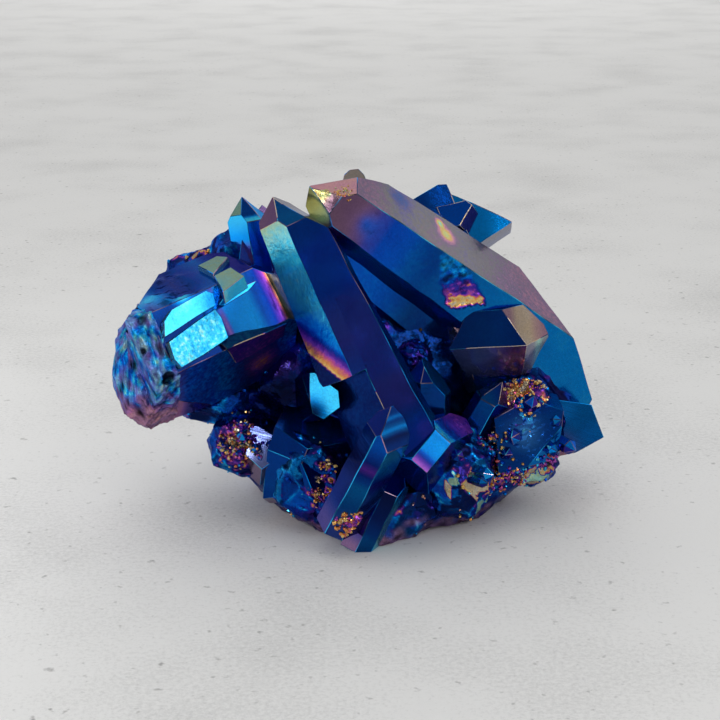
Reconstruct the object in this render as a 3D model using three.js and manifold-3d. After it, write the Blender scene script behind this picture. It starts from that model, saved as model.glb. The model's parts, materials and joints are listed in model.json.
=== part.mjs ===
// A cluster of quartz points grown together on their own rough matrix.
// Millimetres, +Z up, -Y to the front. The underside is cut flat at z = 0, and the origin is the middle
// of the cluster's box on that plane.
//
// Quartz keeps its angles, so a crystal is a short list of distances from its own axis: six sides
// 60 degrees apart, and six tip faces that all lean 51.8 degrees from the axis. Everything here is a convex
// solid bounded by flat faces, and the cluster is all of them joined in one.
import * as THREE from 'three';
import { ConvexGeometry } from 'three/addons/geometries/ConvexGeometry.js';
import { mergeVertices } from 'three/addons/utils/BufferGeometryUtils.js';
import Module from 'manifold-3d';

const wasm = await Module();
wasm.setup();

const DEGREE = Math.PI / 180;
const SIXTH = 60 * DEGREE;
const TIP_SLOPE = 51.8 * DEGREE;
const GOLDEN_ANGLE = Math.PI * (3 - Math.sqrt(5));
const FRONT = new THREE.Vector3(0, -1, 0);

const PARALLEL = 1e-6;
const FLAT_TOLERANCE = 1e-5;
const MERGE_DISTANCE = 1e-3;
const FLOOR_BLOCK = { width: 200, depth: 50 };
const RIM_DEPTH = 1;

// The middle of the cluster's box, in the axes that the lists below are written in.
const MIDDLE = new THREE.Vector3(0.56, 2.53, 0);

// Crystals. foot: a point on the axis. lean: from upright. bearing: where the axis leans, 0 is +X and 90
// is +Y. roll: turn of the first side from the front. sides: distance of each side from the axis. tips:
// height of each tip face on the axis. taper: how much the sides close in. buried: how far the crystal runs
// on below its foot. cuts: more flat faces, by azimuth about the axis, slope from the axis and reach from
// the foot.
const MAIN_POINT = {
  name: 'main_point',
  foot: [23.8, 6, 25.3],
  lean: 53.2,
  bearing: -157,
  roll: 11,
  sides: [4.2, 10.1, 14.8, 7, 3.8, 1.7],
  tips: [44.8, 50.5, 55, 55, 49.4, 40.2],
  taper: 2.8,
  buried: 42,
  cuts: [
    { azimuth: 151, slope: 60, reach: 26.8 },
    { azimuth: 114, slope: 125, reach: 11.6 },
    { azimuth: 118, slope: 122.7, reach: 10.4 },
    { azimuth: -156, slope: 44.7, reach: 33 },
    { azimuth: -104.5, slope: 63.3, reach: 19.4 },
    { azimuth: 41, slope: 162.5, reach: 18.3 },
  ],
};

const FRONT_POINT = {
  name: 'front_point',
  foot: [1.9, -12, 21.5],
  lean: 28.5,
  bearing: 153,
  roll: 20.5,
  sides: [6, 8.3, 5.5, 5.5, 5.9, 4.7],
  tips: [37.4, 37.6, 40.3, 40.3, 40.3, 37.1],
  taper: 3.4,
  buried: -6.6,
  cuts: [
    { azimuth: 123, slope: 38.3, reach: 30 },
    { azimuth: -120, slope: 37.7, reach: 29.8 },
  ],
};

const CRYSTALS = [
  MAIN_POINT,
  {
    ...MAIN_POINT,
    name: 'main_point_skirt',
    sides: [4.1, 8, 12, 7, 6, 8.5],
    tips: [13, 13, 13, 13, 13, 13],
  },
  {
    ...MAIN_POINT,
    name: 'main_point_root',
    sides: [0.2, 7, 12, 6, 6, 7.5],
    tips: [37, 37, 37, 37, 37, 37],
  },
  FRONT_POINT,
  {
    ...FRONT_POINT,
    name: 'front_point_foot',
    sides: [6, 8.3, 5.5, 5.5, 5.9, 2.6],
    tips: [25, 25, 25, 25, 25, 25],
    buried: 9,
    cuts: [],
  },
  {
    name: 'west_point',
    foot: [-17, 4, 38],
    lean: 12.4,
    bearing: 141.5,
    roll: 18.2,
    sides: [3.3, 3.4, 3, 3, 3.1, 2.3],
    tips: [15, 15, 15, 15, 15, 15],
    taper: 0.3,
    buried: 8,
  },
  {
    name: 'west_prism',
    foot: [-29.8, -8, 30],
    lean: 74.4,
    bearing: 31.5,
    roll: 43,
    sides: [7.5, 10.4, 8, 11.9, 10.3, 9],
    tips: [27.8, 27.8, 27.8, 27.8, 27.8, 27.8],
    taper: 1,
    buried: 8,
    cuts: [
      { azimuth: -140.5, slope: 131.5, reach: 6.1 },
      { azimuth: -124.5, slope: 81.5, reach: 15.7 },
      { azimuth: 55.5, slope: 100.5, reach: 8.3 },
    ],
  },
  {
    name: 'lying_crystal',
    foot: [15.9, 1.5, 28.7],
    lean: 87.7,
    bearing: 3.7,
    roll: -29.4,
    sides: [4.5, 4, 5.8, 4, 4.5, 5.7],
    tips: [21.5, 21.5, 21.5, 21.5, 21.5, 21.5],
    taper: -0.7,
    buried: 6,
    cuts: [
      { azimuth: -43, slope: 69.7, reach: 7.7 },
      { azimuth: 33.5, slope: 53, reach: 10 },
      { azimuth: -118, slope: 45.6, reach: 11.7 },
      { azimuth: -110.5, slope: 18, reach: 14.7 },
      { azimuth: 86, slope: 23.6, reach: 13.8 },
      { azimuth: -145, slope: 147, reach: -0.6 },
      { azimuth: 116, slope: 156, reach: 0.3 },
    ],
  },
  {
    name: 'foot_crystal',
    foot: [-0.8, -20, 9.2],
    lean: 26.3,
    bearing: -25,
    roll: 58,
    sides: [2.2, 4.7, 3.6, 3.6, 3.4, 3.1],
    tips: [14.3, 20.2, 19.6, 19.6, 17.6, 18],
    taper: 0.7,
    buried: 6,
  },
  {
    name: 'capped_crystal',
    foot: [6.9, -20, 10.2],
    lean: 56.2,
    bearing: 45.6,
    roll: -5.6,
    sides: [4.2, 2.1, 4, 4, 4, 4.9],
    tips: [15.5, 20.6, 20.4, 20.4, 18.4, 18],
    taper: -0.7,
    buried: -3.5,
  },
  {
    name: 'heel_crystal',
    foot: [0.8, -16.5, 0.7],
    lean: 27.3,
    bearing: 24,
    roll: 3.5,
    sides: [2.9, 2.3, 3.2, 3.2, 3.2, 2.6],
    tips: [13, 14, 14, 14, 14, 13],
    taper: -1,
    buried: 3,
  },
  {
    name: 'pocket_prism',
    foot: [11, -6.5, 12],
    lean: 6,
    bearing: 90,
    roll: 12,
    sides: [3.4, 3.6, 3.4, 3.4, 3.6, 3.4],
    tips: [17, 15, 17, 17, 17, 17],
    taper: 0,
    buried: 6,
  },
  {
    name: 'pocket_blade',
    foot: [17.5, -4, 12],
    lean: 28,
    bearing: 8,
    roll: -18,
    sides: [3, 2.6, 3, 3, 2.6, 2.8],
    tips: [13, 13, 13, 13, 13, 13],
    taper: 0,
    buried: 6,
  },
  {
    name: 'north_west_point',
    foot: [-10, 13, 24],
    lean: 44,
    bearing: 118,
    roll: 20,
    sides: [4.4, 4, 3.8, 4.6, 4, 4.2],
    tips: [23, 24, 22, 23, 22, 24],
    taper: 2,
    buried: 8,
  },
  {
    name: 'north_point',
    foot: [4, 15, 20],
    lean: 62,
    bearing: 84,
    roll: 5,
    sides: [3.2, 3.6, 3, 3.2, 3.6, 3],
    tips: [18, 19, 17, 18, 19, 18],
    taper: 1.5,
    buried: 8,
  },
  {
    name: 'north_east_point',
    foot: [20, 13, 22],
    lean: 58,
    bearing: 50,
    roll: 35,
    sides: [3.8, 3.4, 3.6, 3.8, 3.2, 3.6],
    tips: [17, 18, 16, 17, 18, 17],
    taper: 2,
    buried: 8,
  },
];

function direction(lean, bearing) {
  const tilt = lean * DEGREE;
  const turn = bearing * DEGREE;
  return new THREE.Vector3(Math.sin(tilt) * Math.cos(turn), Math.sin(tilt) * Math.sin(turn), Math.cos(tilt));
}

// Two directions square to an axis. The first leans to the front as far as it can.
function across(axis) {
  const first = FRONT.clone().addScaledVector(axis, -FRONT.dot(axis)).normalize();
  return [first, axis.clone().cross(first)];
}

function facesOf(crystal) {
  const foot = new THREE.Vector3(...crystal.foot);
  const axis = direction(crystal.lean, crystal.bearing);
  const [first, second] = across(axis);
  const face = (azimuth, slope, reach) => {
    const side = first.clone().multiplyScalar(Math.cos(azimuth)).addScaledVector(second, Math.sin(azimuth));
    const normal = side.multiplyScalar(Math.sin(slope)).addScaledVector(axis, Math.cos(slope));
    return new THREE.Plane(normal, -normal.dot(foot) - reach);
  };
  const roll = crystal.roll * DEGREE;
  const taper = (crystal.taper ?? 0) * DEGREE;
  const steep = Math.PI / 2 - taper;
  const sides = crystal.sides.map((d, k) => face(roll + k * SIXTH, steep, d * Math.cos(taper)));
  const tips = crystal.tips.map((h, k) => face(roll + k * SIXTH, TIP_SLOPE, h * Math.cos(TIP_SLOPE)));
  const cuts = (crystal.cuts ?? []).map((c) => face(c.azimuth * DEGREE, c.slope * DEGREE, c.reach));
  return [...sides, ...tips, face(0, Math.PI, crystal.buried), ...cuts];
}

// Where three planes meet, or null where they don't meet in one point.
function meeting(a, b, c) {
  const bc = b.normal.clone().cross(c.normal);
  const spread = a.normal.dot(bc);
  if (Math.abs(spread) < PARALLEL) return null;
  const ca = c.normal.clone().cross(a.normal);
  const ab = a.normal.clone().cross(b.normal);
  return bc.multiplyScalar(-a.constant)
    .addScaledVector(ca, -b.constant)
    .addScaledVector(ab, -c.constant)
    .divideScalar(spread);
}

// The corners of the convex solid behind all the planes.
function corners(planes) {
  const found = [];
  for (let i = 0; i < planes.length; i += 1) {
    for (let j = i + 1; j < planes.length; j += 1) {
      for (let k = j + 1; k < planes.length; k += 1) {
        const point = meeting(planes[i], planes[j], planes[k]);
        if (!point) continue;
        if (planes.some((plane) => plane.distanceToPoint(point) > FLAT_TOLERANCE)) continue;
        if (found.some((other) => other.distanceTo(point) < MERGE_DISTANCE)) continue;
        found.push(point);
      }
    }
  }
  return found;
}

// Small blocky crystals, each a list of flat faces: how far the face's normal leans from upright, its
// bearing, and how far the face lies from the block's middle.
const BLOCKS = [
  {
    name: 'back_plate_peak',
    middle: [12.4, 15.9, 49.8],
    faces: [
      [68, -98, 1], [41, 139, 1.8], [26, 93, 2.6], [72, 17, 3], [155, 169, 9], [96, 164, 3.5],
      [112, 82, 5],
    ],
  },
  {
    name: 'back_plate_wing',
    middle: [19.6, 15.1, 47.2],
    faces: [
      [68, -98, 1], [34, 46, 2], [38, 39, 1.9], [136, -37, 4.6], [160, 153, 8], [96, 163, 6],
      [112, 82, 6],
    ],
  },
  {
    name: 'back_cap',
    middle: [16.3, 12.8, 47.8],
    faces: [
      [55, -105, 1], [25, 119, 2.4], [47, 21, 3.2], [98, -40, 2], [136, -79, 2.3], [95, -154, 2.4],
      [145, 178, 1.1], [125, 75, 5],
    ],
  },
  {
    name: 'bright_chip',
    middle: [-5.7, -11.1, 23.6],
    faces: [
      [75, -115, 1], [27, 81, 3.4], [48, 32, 1.7], [89, 17, 1.7], [141, 0, 2.5], [129, -133, 3.3],
      [92, -160, 2.3], [82, -150, 2], [105, 65, 6],
    ],
  },
  {
    name: 'east_corner',
    middle: [38, 2, 13.7],
    faces: [
      [80, -85, 1], [71, 15, 2.3], [152, -3, 2.9], [135, -107, 4.4], [89, 157, 7], [28, 74, 3.6],
      [100, 95, 7],
    ],
  },
  {
    name: 'south_west_block',
    middle: [-14.9, -8.1, 14.4],
    faces: [
      [60, -100, 1.1], [32, 119, 3.2], [44, 42, 1.3], [83, -10, 2.4], [129, -47, 3.4], [118, -139, 4.1],
      [84, 171, 3.4], [120, 80, 4.9],
    ],
  },
  {
    name: 'summit_knob',
    middle: [-0.8, 4.9, 55.8],
    faces: [
      [70, -90, 1], [80, 163, 1.6], [48, 149, 1.4], [26, 104, 1.3], [53, 28, 1.3], [73, 19, 1.4],
      [140, -90, 5], [110, 90, 3],
    ],
  },
  {
    name: 'west_chip',
    middle: [-16.7, 7.8, 48.8],
    faces: [
      [60, -60, 1], [63, 162, 0.7], [46, 38, 1.7], [77, 22, 1.4], [137, 9, 7], [91, 170, 2],
      [120, 120, 3],
    ],
  },
];

// Rough matrix: lumps with chipped flat sides. chips is the number of flats and bite how deep they cut.
const LUMPS = [
  { name: 'core', middle: [-3, 8, 20], radii: [23, 14, 18], chips: 30, bite: 0.12, seed: 1 },
  { name: 'west_end', middle: [-34.2, -6, 27], radii: [6, 9.4, 9.6], chips: 30, bite: 0.1, seed: 2 },
  { name: 'west_ridge', middle: [-26.5, 8, 33.5], radii: [9.2, 8.5, 10.6], chips: 26, bite: 0.18, seed: 3 },
  { name: 'west_under', middle: [-23, 4, 19.5], radii: [8.5, 7.5, 6.5], chips: 24, bite: 0.12, seed: 14 },
  { name: 'west_saddle', middle: [-20, 8, 38], radii: [7.5, 7.5, 9.2], chips: 24, bite: 0.14, seed: 4 },
  { name: 'south_west', middle: [-18.5, -2, 12.5], radii: [7.8, 7.5, 6], chips: 26, bite: 0.12, seed: 5 },
  { name: 'south', middle: [-8, -8, 9], radii: [8, 7, 8.5], chips: 24, bite: 0.14, seed: 6 },
  { name: 'south_east', middle: [15, -7.5, 9], radii: [8.5, 7, 9], chips: 26, bite: 0.14, seed: 7 },
  { name: 'east', middle: [27, -1, 13.5], radii: [8.2, 6.5, 9.8], chips: 28, bite: 0.12, seed: 8 },
  { name: 'east_foot', middle: [26, 0, 9.5], radii: [8.4, 7.5, 5.6], chips: 24, bite: 0.12, seed: 9 },
  { name: 'east_back', middle: [27, 9, 17], radii: [11, 9, 12], chips: 26, bite: 0.2, seed: 10 },
  { name: 'north_east', middle: [12, 13, 22], radii: [16, 11.5, 16], chips: 26, bite: 0.22, seed: 11 },
  { name: 'north_west', middle: [-12, 14, 20], radii: [15, 11.5, 15], chips: 26, bite: 0.22, seed: 12 },
  { name: 'north_summit', middle: [13, 13, 30], radii: [11, 8, 12], chips: 24, bite: 0.16, seed: 15 },
  {
    name: 'pocket_ball',
    middle: [8.7, -0.5, 26.4],
    radii: [3.3, 3.3, 3.6],
    chips: 40,
    bite: 0.06,
    seed: 13,
  },
];

// The foot of the matrix: its rim on the floor, and its rim where the lumps take over.
const FLOOR_RIM = [
  [0.5, -19], [6.5, -13], [13.5, -9.5], [19.5, -5.5], [24.5, 4], [20, 17],
  [2, 23], [-13, 19], [-18, 11], [-15.5, 2], [-10, -6], [-4.5, -14],
];
const UPPER_RIM = [
  [2, -17.5, 8], [10, -13, 9], [18, -9, 8], [26, -6, 8], [34, 1, 10], [34, 9, 12],
  [24, 19, 13], [0, 25, 13], [-18, 19, 13], [-24, 4, 14], [-23, -2, 12], [-18, -7, 11], [-8, -13, 9],
];

// Thin plates of later growth, each on one face of a crystal. Corners are along the axis from the crystal's
// foot and across the face.
const PLATES = [
  {
    crystal: 'west_prism',
    side: 5,
    rise: 1.2,
    outline: [[-4, 2.3], [-3, 4.6], [-1.2, 5.7], [5.4, 6.3], [6.3, 5.4], [5.8, 3.5]],
  },
  {
    crystal: 'west_prism',
    side: 5,
    rise: 1.1,
    outline: [[-3.7, 1.4], [5.5, 3], [5.9, 1.2], [5.5, -1.9], [0.7, -2.7], [-3.7, -3], [-4.2, -1.3]],
  },
  {
    crystal: 'west_prism',
    side: 5,
    rise: 1,
    outline: [[6.4, 3.4], [8.2, 4.4], [14.3, 4.5], [11.9, 3.5], [7.3, 2.9]],
  },
  {
    crystal: 'west_prism',
    side: 0,
    rise: 0.5,
    outline: [[4.4, 7], [15.9, 5.7], [15.5, 2.8], [6.5, 1.5]],
  },
  {
    crystal: 'west_prism',
    side: 4,
    rise: 0.9,
    outline: [[8.6, 2.8], [12.6, 3.5], [13.6, 1.5], [8.9, -2.3]],
  },
  {
    crystal: 'west_prism',
    side: 4,
    rise: 0.6,
    outline: [[8.9, -2.4], [12.1, -2], [11.8, -7], [6.8, -8.8]],
  },
  {
    crystal: 'main_point',
    side: 0,
    rise: 0.3,
    outline: [[23.1, -7.3], [14.1, -10.1], [9.7, -4.6], [14.8, -1.4], [19.1, -2.9]],
  },
];
const PLATE_ROOT = 1.5;
const PLATE_FLARE = 1.08;

// Fields of small points that stand out of a lump, between two bearings and two heights on it.
const FIELDS = [
  { lump: 'east', count: 9, length: 3, seed: 21, bearings: [-130, -35], heights: [-0.2, 0.8] },
  { lump: 'south_west', count: 7, length: 2.4, seed: 22, bearings: [-120, -40], heights: [-0.3, 0.6] },
  { lump: 'south_east', count: 5, length: 2.6, seed: 23, bearings: [-140, -40], heights: [0, 0.7] },
  { lump: 'west_ridge', count: 7, length: 2.4, seed: 24, bearings: [60, 150], heights: [-0.2, 0.6] },
  { lump: 'north_east', count: 9, length: 5, seed: 25, bearings: [10, 140], heights: [-0.5, 0.6] },
  { lump: 'north_west', count: 9, length: 5, seed: 26, bearings: [50, 190], heights: [-0.5, 0.7] },
  { lump: 'east_back', count: 6, length: 3.4, seed: 27, bearings: [30, 110], heights: [-0.3, 0.6] },
];
const POINTLET_SHAPE = { width: 0.34, buried: 0.8, fan: 25 };

// A fixed sequence of numbers from 0 to 1 that looks random.
function scatter(index, seed) {
  const wave = Math.sin(index * 12.9898 + seed * 78.233) * 43758.5453;
  return wave - Math.floor(wave);
}

function blockFaces(block) {
  const middle = new THREE.Vector3(...block.middle);
  return block.faces.map(([lean, bearing, reach]) => {
    const normal = direction(lean, bearing);
    return new THREE.Plane(normal, -normal.dot(middle) - reach);
  });
}

// Flats spread evenly around an ellipsoid by the golden angle, each set in by its own bite.
function lumpFaces(lump) {
  const middle = new THREE.Vector3(...lump.middle);
  const radii = new THREE.Vector3(...lump.radii);
  const planes = [];
  for (let i = 0; i < lump.chips; i += 1) {
    const height = 1 - (2 * i + 1) / lump.chips;
    const ring = Math.sqrt(1 - height * height);
    const turn = GOLDEN_ANGLE * i + lump.seed;
    const spot = new THREE.Vector3(ring * Math.cos(turn), ring * Math.sin(turn), height);
    const normal = spot.divide(radii);
    const size = normal.length();
    normal.divideScalar(size);
    const reach = (1 - lump.bite * scatter(i, lump.seed)) / size;
    planes.push(new THREE.Plane(normal, -normal.dot(middle) - reach));
  }
  return planes;
}

function fieldCrystals(field) {
  const lump = LUMPS.find((candidate) => candidate.name === field.lump);
  const between = ([low, high], share) => low + (high - low) * share;
  const points = [];
  for (let i = 0; i < field.count; i += 1) {
    const bearing = between(field.bearings, (i + scatter(i, field.seed)) / field.count) * DEGREE;
    const height = between(field.heights, scatter(i + 40, field.seed));
    const ring = Math.sqrt(1 - height * height);
    const spot = new THREE.Vector3(ring * Math.cos(bearing), ring * Math.sin(bearing), height);
    const radii = new THREE.Vector3(...lump.radii);
    const foot = spot.clone().multiply(radii).add(new THREE.Vector3(...lump.middle));
    const outward = spot.divide(radii).normalize();
    const tilt = POINTLET_SHAPE.fan * (scatter(i + 80, field.seed) - 0.5);
    const swing = POINTLET_SHAPE.fan * (scatter(i + 120, field.seed) - 0.5);
    const lean = Math.acos(outward.z) / DEGREE + tilt;
    const turn = Math.atan2(outward.y, outward.x) / DEGREE + swing;
    const length = field.length * (0.6 + 0.6 * scatter(i + 160, field.seed));
    const width = length * POINTLET_SHAPE.width;
    points.push({
      foot: foot.toArray(),
      lean,
      bearing: turn,
      roll: 60 * scatter(i + 200, field.seed),
      sides: Array(6).fill(width),
      tips: Array(6).fill(length),
      buried: length * POINTLET_SHAPE.buried,
    });
  }
  return points;
}

function plateCorners(plate) {
  const crystal = CRYSTALS.find((candidate) => candidate.name === plate.crystal);
  const face = facesOf(crystal)[plate.side];
  const axis = direction(crystal.lean, crystal.bearing);
  const sideways = face.normal.clone().cross(axis).normalize();
  const along = sideways.clone().cross(face.normal);
  const foot = face.projectPoint(new THREE.Vector3(...crystal.foot), new THREE.Vector3());
  const corners = plate.outline.length;
  const middle = plate.outline.reduce(([u, v], [a, b]) => [u + a / corners, v + b / corners], [0, 0]);
  const at = (level, spread) => plate.outline.map(([u, v]) => foot.clone()
    .addScaledVector(along, middle[0] + (u - middle[0]) * spread)
    .addScaledVector(sideways, middle[1] + (v - middle[1]) * spread)
    .addScaledVector(face.normal, level));
  return [...at(plate.rise, 1), ...at(-PLATE_ROOT, PLATE_FLARE)];
}

function solid(geometry) {
  const bare = geometry.clone();
  bare.deleteAttribute('normal');
  bare.deleteAttribute('uv');
  const merged = mergeVertices(bare, MERGE_DISTANCE);
  return new wasm.Manifold(new wasm.Mesh({
    numProp: 3,
    vertProperties: new Float32Array(merged.attributes.position.array),
    triVerts: new Uint32Array(merged.index.array),
  }));
}

function convex(points) {
  return solid(new ConvexGeometry(points));
}

function joined(solids) {
  return solids.reduce((whole, next) => whole.add(next));
}

function cluster() {
  const rim = [
    ...FLOOR_RIM.map(([x, y]) => new THREE.Vector3(x, y, -RIM_DEPTH)),
    ...UPPER_RIM.map((corner) => new THREE.Vector3(...corner)),
  ];
  const pieces = [
    convex(rim),
    ...LUMPS.map((lump) => convex(corners(lumpFaces(lump)))),
    ...BLOCKS.map((block) => convex(corners(blockFaces(block)))),
    ...CRYSTALS.map((crystal) => convex(corners(facesOf(crystal)))),
    ...FIELDS.flatMap(fieldCrystals).map((crystal) => convex(corners(facesOf(crystal)))),
    ...PLATES.map((plate) => convex(plateCorners(plate))),
  ];
  const underFloor = new THREE.BoxGeometry(FLOOR_BLOCK.width, FLOOR_BLOCK.width, FLOOR_BLOCK.depth);
  underFloor.translate(0, 0, -FLOOR_BLOCK.depth / 2);
  return joined(pieces).subtract(solid(underFloor));
}

function geometryOf(manifold) {
  const mesh = manifold.getMesh();
  const geometry = new THREE.BufferGeometry();
  geometry.setAttribute('position', new THREE.BufferAttribute(mesh.vertProperties, 3));
  geometry.setIndex(new THREE.BufferAttribute(mesh.triVerts, 1));
  return geometry;
}

const coated = new THREE.MeshStandardMaterial({ color: 0x14508c, roughness: 0.15, metalness: 0.9 });
const quartz = new THREE.Mesh(geometryOf(cluster()), coated);
quartz.name = 'quartz_cluster';
quartz.position.copy(MIDDLE).negate();

const part = new THREE.Group();
part.add(quartz);

export default part;
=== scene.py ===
"""A cluster of coated quartz points on its own matrix, built around the packed solid.

Every crystal is a set of flat faces a fixed angle apart, as quartz grows: six sides 60 degrees apart and
six tip faces whose normals stand 51.8 degrees from the axis. The matrix is lumps of broken quartz, whose
surface is the nearest of many flats in each direction. The metal film on them all is one colour scale, read
by its thickness. Sizes in the lists are millimetres, +Z up, -Y to the front, in the lists' own axes: MIDDLE
is their offset.
"""

import json
import math
from functools import partial
from itertools import combinations, product

import bpy
import numpy as np
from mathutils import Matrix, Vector
from mathutils.geometry import delaunay_2d_cdt

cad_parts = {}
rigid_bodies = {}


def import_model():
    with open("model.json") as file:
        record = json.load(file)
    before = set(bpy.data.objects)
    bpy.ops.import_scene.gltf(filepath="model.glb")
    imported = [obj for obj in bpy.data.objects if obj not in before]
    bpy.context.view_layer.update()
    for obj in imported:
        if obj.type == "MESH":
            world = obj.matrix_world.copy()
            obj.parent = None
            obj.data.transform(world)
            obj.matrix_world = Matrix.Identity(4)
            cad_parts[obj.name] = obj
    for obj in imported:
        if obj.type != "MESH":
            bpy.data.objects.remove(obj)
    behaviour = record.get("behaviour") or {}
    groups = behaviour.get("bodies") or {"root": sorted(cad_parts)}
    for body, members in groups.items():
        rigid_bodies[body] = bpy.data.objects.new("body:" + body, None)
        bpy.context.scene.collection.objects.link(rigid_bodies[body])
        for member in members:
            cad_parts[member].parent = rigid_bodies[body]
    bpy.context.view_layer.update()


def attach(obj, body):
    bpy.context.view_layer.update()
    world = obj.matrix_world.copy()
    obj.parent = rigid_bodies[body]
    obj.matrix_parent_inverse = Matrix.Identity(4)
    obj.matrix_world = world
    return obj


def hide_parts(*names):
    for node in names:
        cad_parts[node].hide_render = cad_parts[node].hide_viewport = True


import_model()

bl_info = {
    "name": "Coated quartz cluster",
    "version": (1, 0, 0),
    "blender": (4, 5, 0),
    "location": "View3D > Sidebar > Quartz",
    "description": "Builds a film-coated quartz cluster, its matrix and its stage",
    "category": "Add Mesh",
}

MM = 0.001
NODE = "quartz_cluster"
MIDDLE = np.array([0.56, 2.53, 0.0])
FRONT = np.array([0.0, -1.0, 0.0])
ODD_WAY = np.array([0.3, 0.5, 0.8])
SIDES = 6
TIP_SLOPE = math.radians(51.8)
GOLDEN_ANGLE = math.pi * (3 - math.sqrt(5))
FLOOR_PLANE = np.array([[0.0, 0.0, -1.0, 0.0]])
PARALLEL = 1e-7
ON_FACE = 4e-4
DIGITS = 4
WAVES = 14
BARE_COAT = (0.47, 0.4, 0.0, 0.0)

# Crystals. foot: a point on the axis. lean: from upright. bearing: where the axis leans, 0 is +X and 90 is
# +Y. roll: turn of the first side from the front. sides: distance of each side from the axis. tips: height
# of each tip face on the axis. taper: how much the sides close in. buried: how far the crystal runs on
# below its foot. cuts: more flat faces, by azimuth about the axis, slope from the axis and reach from the
# foot. coat: for each face (0 to 5 sides, 6 to 11 tips, 12 root, then cuts), stops of height on the axis,
# film thickness, dimming and, where there is one, veil; the dimming is partly a darker film and partly
# painted shade on faces and hollows that lie in shade. frost: roughness of a face. slant: how far the
# stops lean across a face, and the heights between which that fades out.
MAIN_POINT = dict(
    name="main_point", foot=(23.8, 6, 25.3), lean=53.2, bearing=-157, roll=11, taper=2.8,
    buried=42, sides=(4.2, 10.1, 14.8, 7, 3.8, 1.7), tips=(44.8, 50.5, 55, 55, 49.4, 40.2),
    cuts=((151, 60, 26.8), (114, 125, 11.6), (118, 122.7, 10.4), (-156, 44.7, 33), (-104.5, 63.3, 19.4),
          (41, 162.5, 18.3)),
    frost={6: 0.45, 0: 0.12, 1: 0.2},
    coat={
        0: ((-18, 0.58, 0.52), (9, 0.575, 0.54), (17, 0.535, 0.58), (22, 0.51, 0.62), (26, 0.515, 0.5),
            (29, 0.475, 0.12), (32, 0.45, 0.05), (34.5, 0.43, 0.1, 0.1), (36.3, 0.4, 0.45, 0.55),
            (38, 0.35, 0.66, 0.85), (44, 0.33, 0.7, 0.9)),
        1: ((-18, 0.95, 0.5), (4, 0.95, 0.45), (10, 0.97, 0.35), (17, 0.99, 0.28), (24, 0.975, 0.28),
            (30, 1.01, 0.32), (34, 0.97, 0.38), (38, 0.95, 0.48)),
        2: ((-18, 0.52, 0.4), (20, 0.56, 0.3), (45, 0.3, 0.4)),
        3: ((-18, 0.5, 0.4), (20, 0.47, 0.4), (45, 0.6, 0.2)),
        4: ((-18, 0.42, 0.5), (20, 0.5, 0.4), (45, 0.62, 0.2)),
        5: ((-18, 0.5, 0.4), (13, 0.505, 0.15), (17, 0.51, 0.25), (21, 0.5, 0.1), (26, 0.54, 0.05),
            (34, 0.56, 0), (36.5, 0.45, 0.1), (38.2, 0.3, 0.4), (42, 0.26, 0.6, 0.4)),
        6: ((42.4, 0.82, 0.66, 0.95), (43.3, 0.82, 0.5, 0.75), (43.9, 0.82, 0.05, 0.1), (46, 0.81, 0)),
        7: ((40, 0.9, 0.35, 0.4), (44, 0.885, 0.35, 0.3), (46, 0.9, 0.5)),
        11: ((40.8, 0.74, 0.6, 0.7), (41.6, 0.755, 0.1), (43, 0.77, 0), (44.2, 0.79, 0.05),
             (45.2, 0.8, 0.75)),
        13: ((0, 0.9, 0.2),),
    },
)
FRONT_POINT = dict(
    name="front_point", foot=(1.9, -12, 21.5), lean=28.5, bearing=153, roll=20.5, taper=3.4,
    buried=-6.6, sides=(6, 8.3, 5.5, 5.5, 5.9, 4.7), tips=(37.4, 37.6, 40.3, 40.3, 40.3, 37.1),
    cuts=((123, 38.3, 30), (-120, 37.7, 29.8)),
    slant={5: (1.2, 25, 8)},
    frost={5: 0.35},
    coat={
        0: ((8, 0.44, 0.25, 0.03), (12, 0.425, 0.3, 0.06), (16, 0.435, 0.35, 0.05), (20, 0.43, 0.3),
            (23, 0.44, 0.25), (27, 0.425, 0.25), (30, 0.45, 0.45), (34, 0.47, 0.5)),
        1: ((8, 0.45, 0.1), (11.5, 0.45, 0.2), (14.6, 0.41, 0.05), (17.7, 0.39, 0.05), (20.8, 0.5, 0.05),
            (23.8, 0.57, 0), (27, 0.42, 0.05), (34, 0.45, 0.3)),
        2: ((0, 0.5, 0.2), (34, 0.6, 0.2)),
        3: ((0, 0.45, 0.2), (34, 0.56, 0.2)),
        4: ((0, 0.5, 0.2), (34, 0.62, 0.2)),
        5: ((6.5, 0.43, 0.75), (7.9, 0.43, 0.7), (8.2, 0.05, 0.1), (9.2, 0.13, 0.05), (10.6, 0.19, 0.05),
            (12, 0.28, 0.1), (13.4, 0.4, 0.1), (15.2, 0.54, 0), (20, 0.64, 0), (24, 0.655, 0), (28, 0.66, 0),
            (31, 0.69, 0.15), (33, 0.735, 0.35), (35.5, 0.79, 0.45)),
        6: ((30, 0.55, 0.75),),
        7: ((31, 0, 0), (35, 0.04, 0.4)),
        11: ((30, 0.3, 0.7, 0.85),),
    },
)
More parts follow.
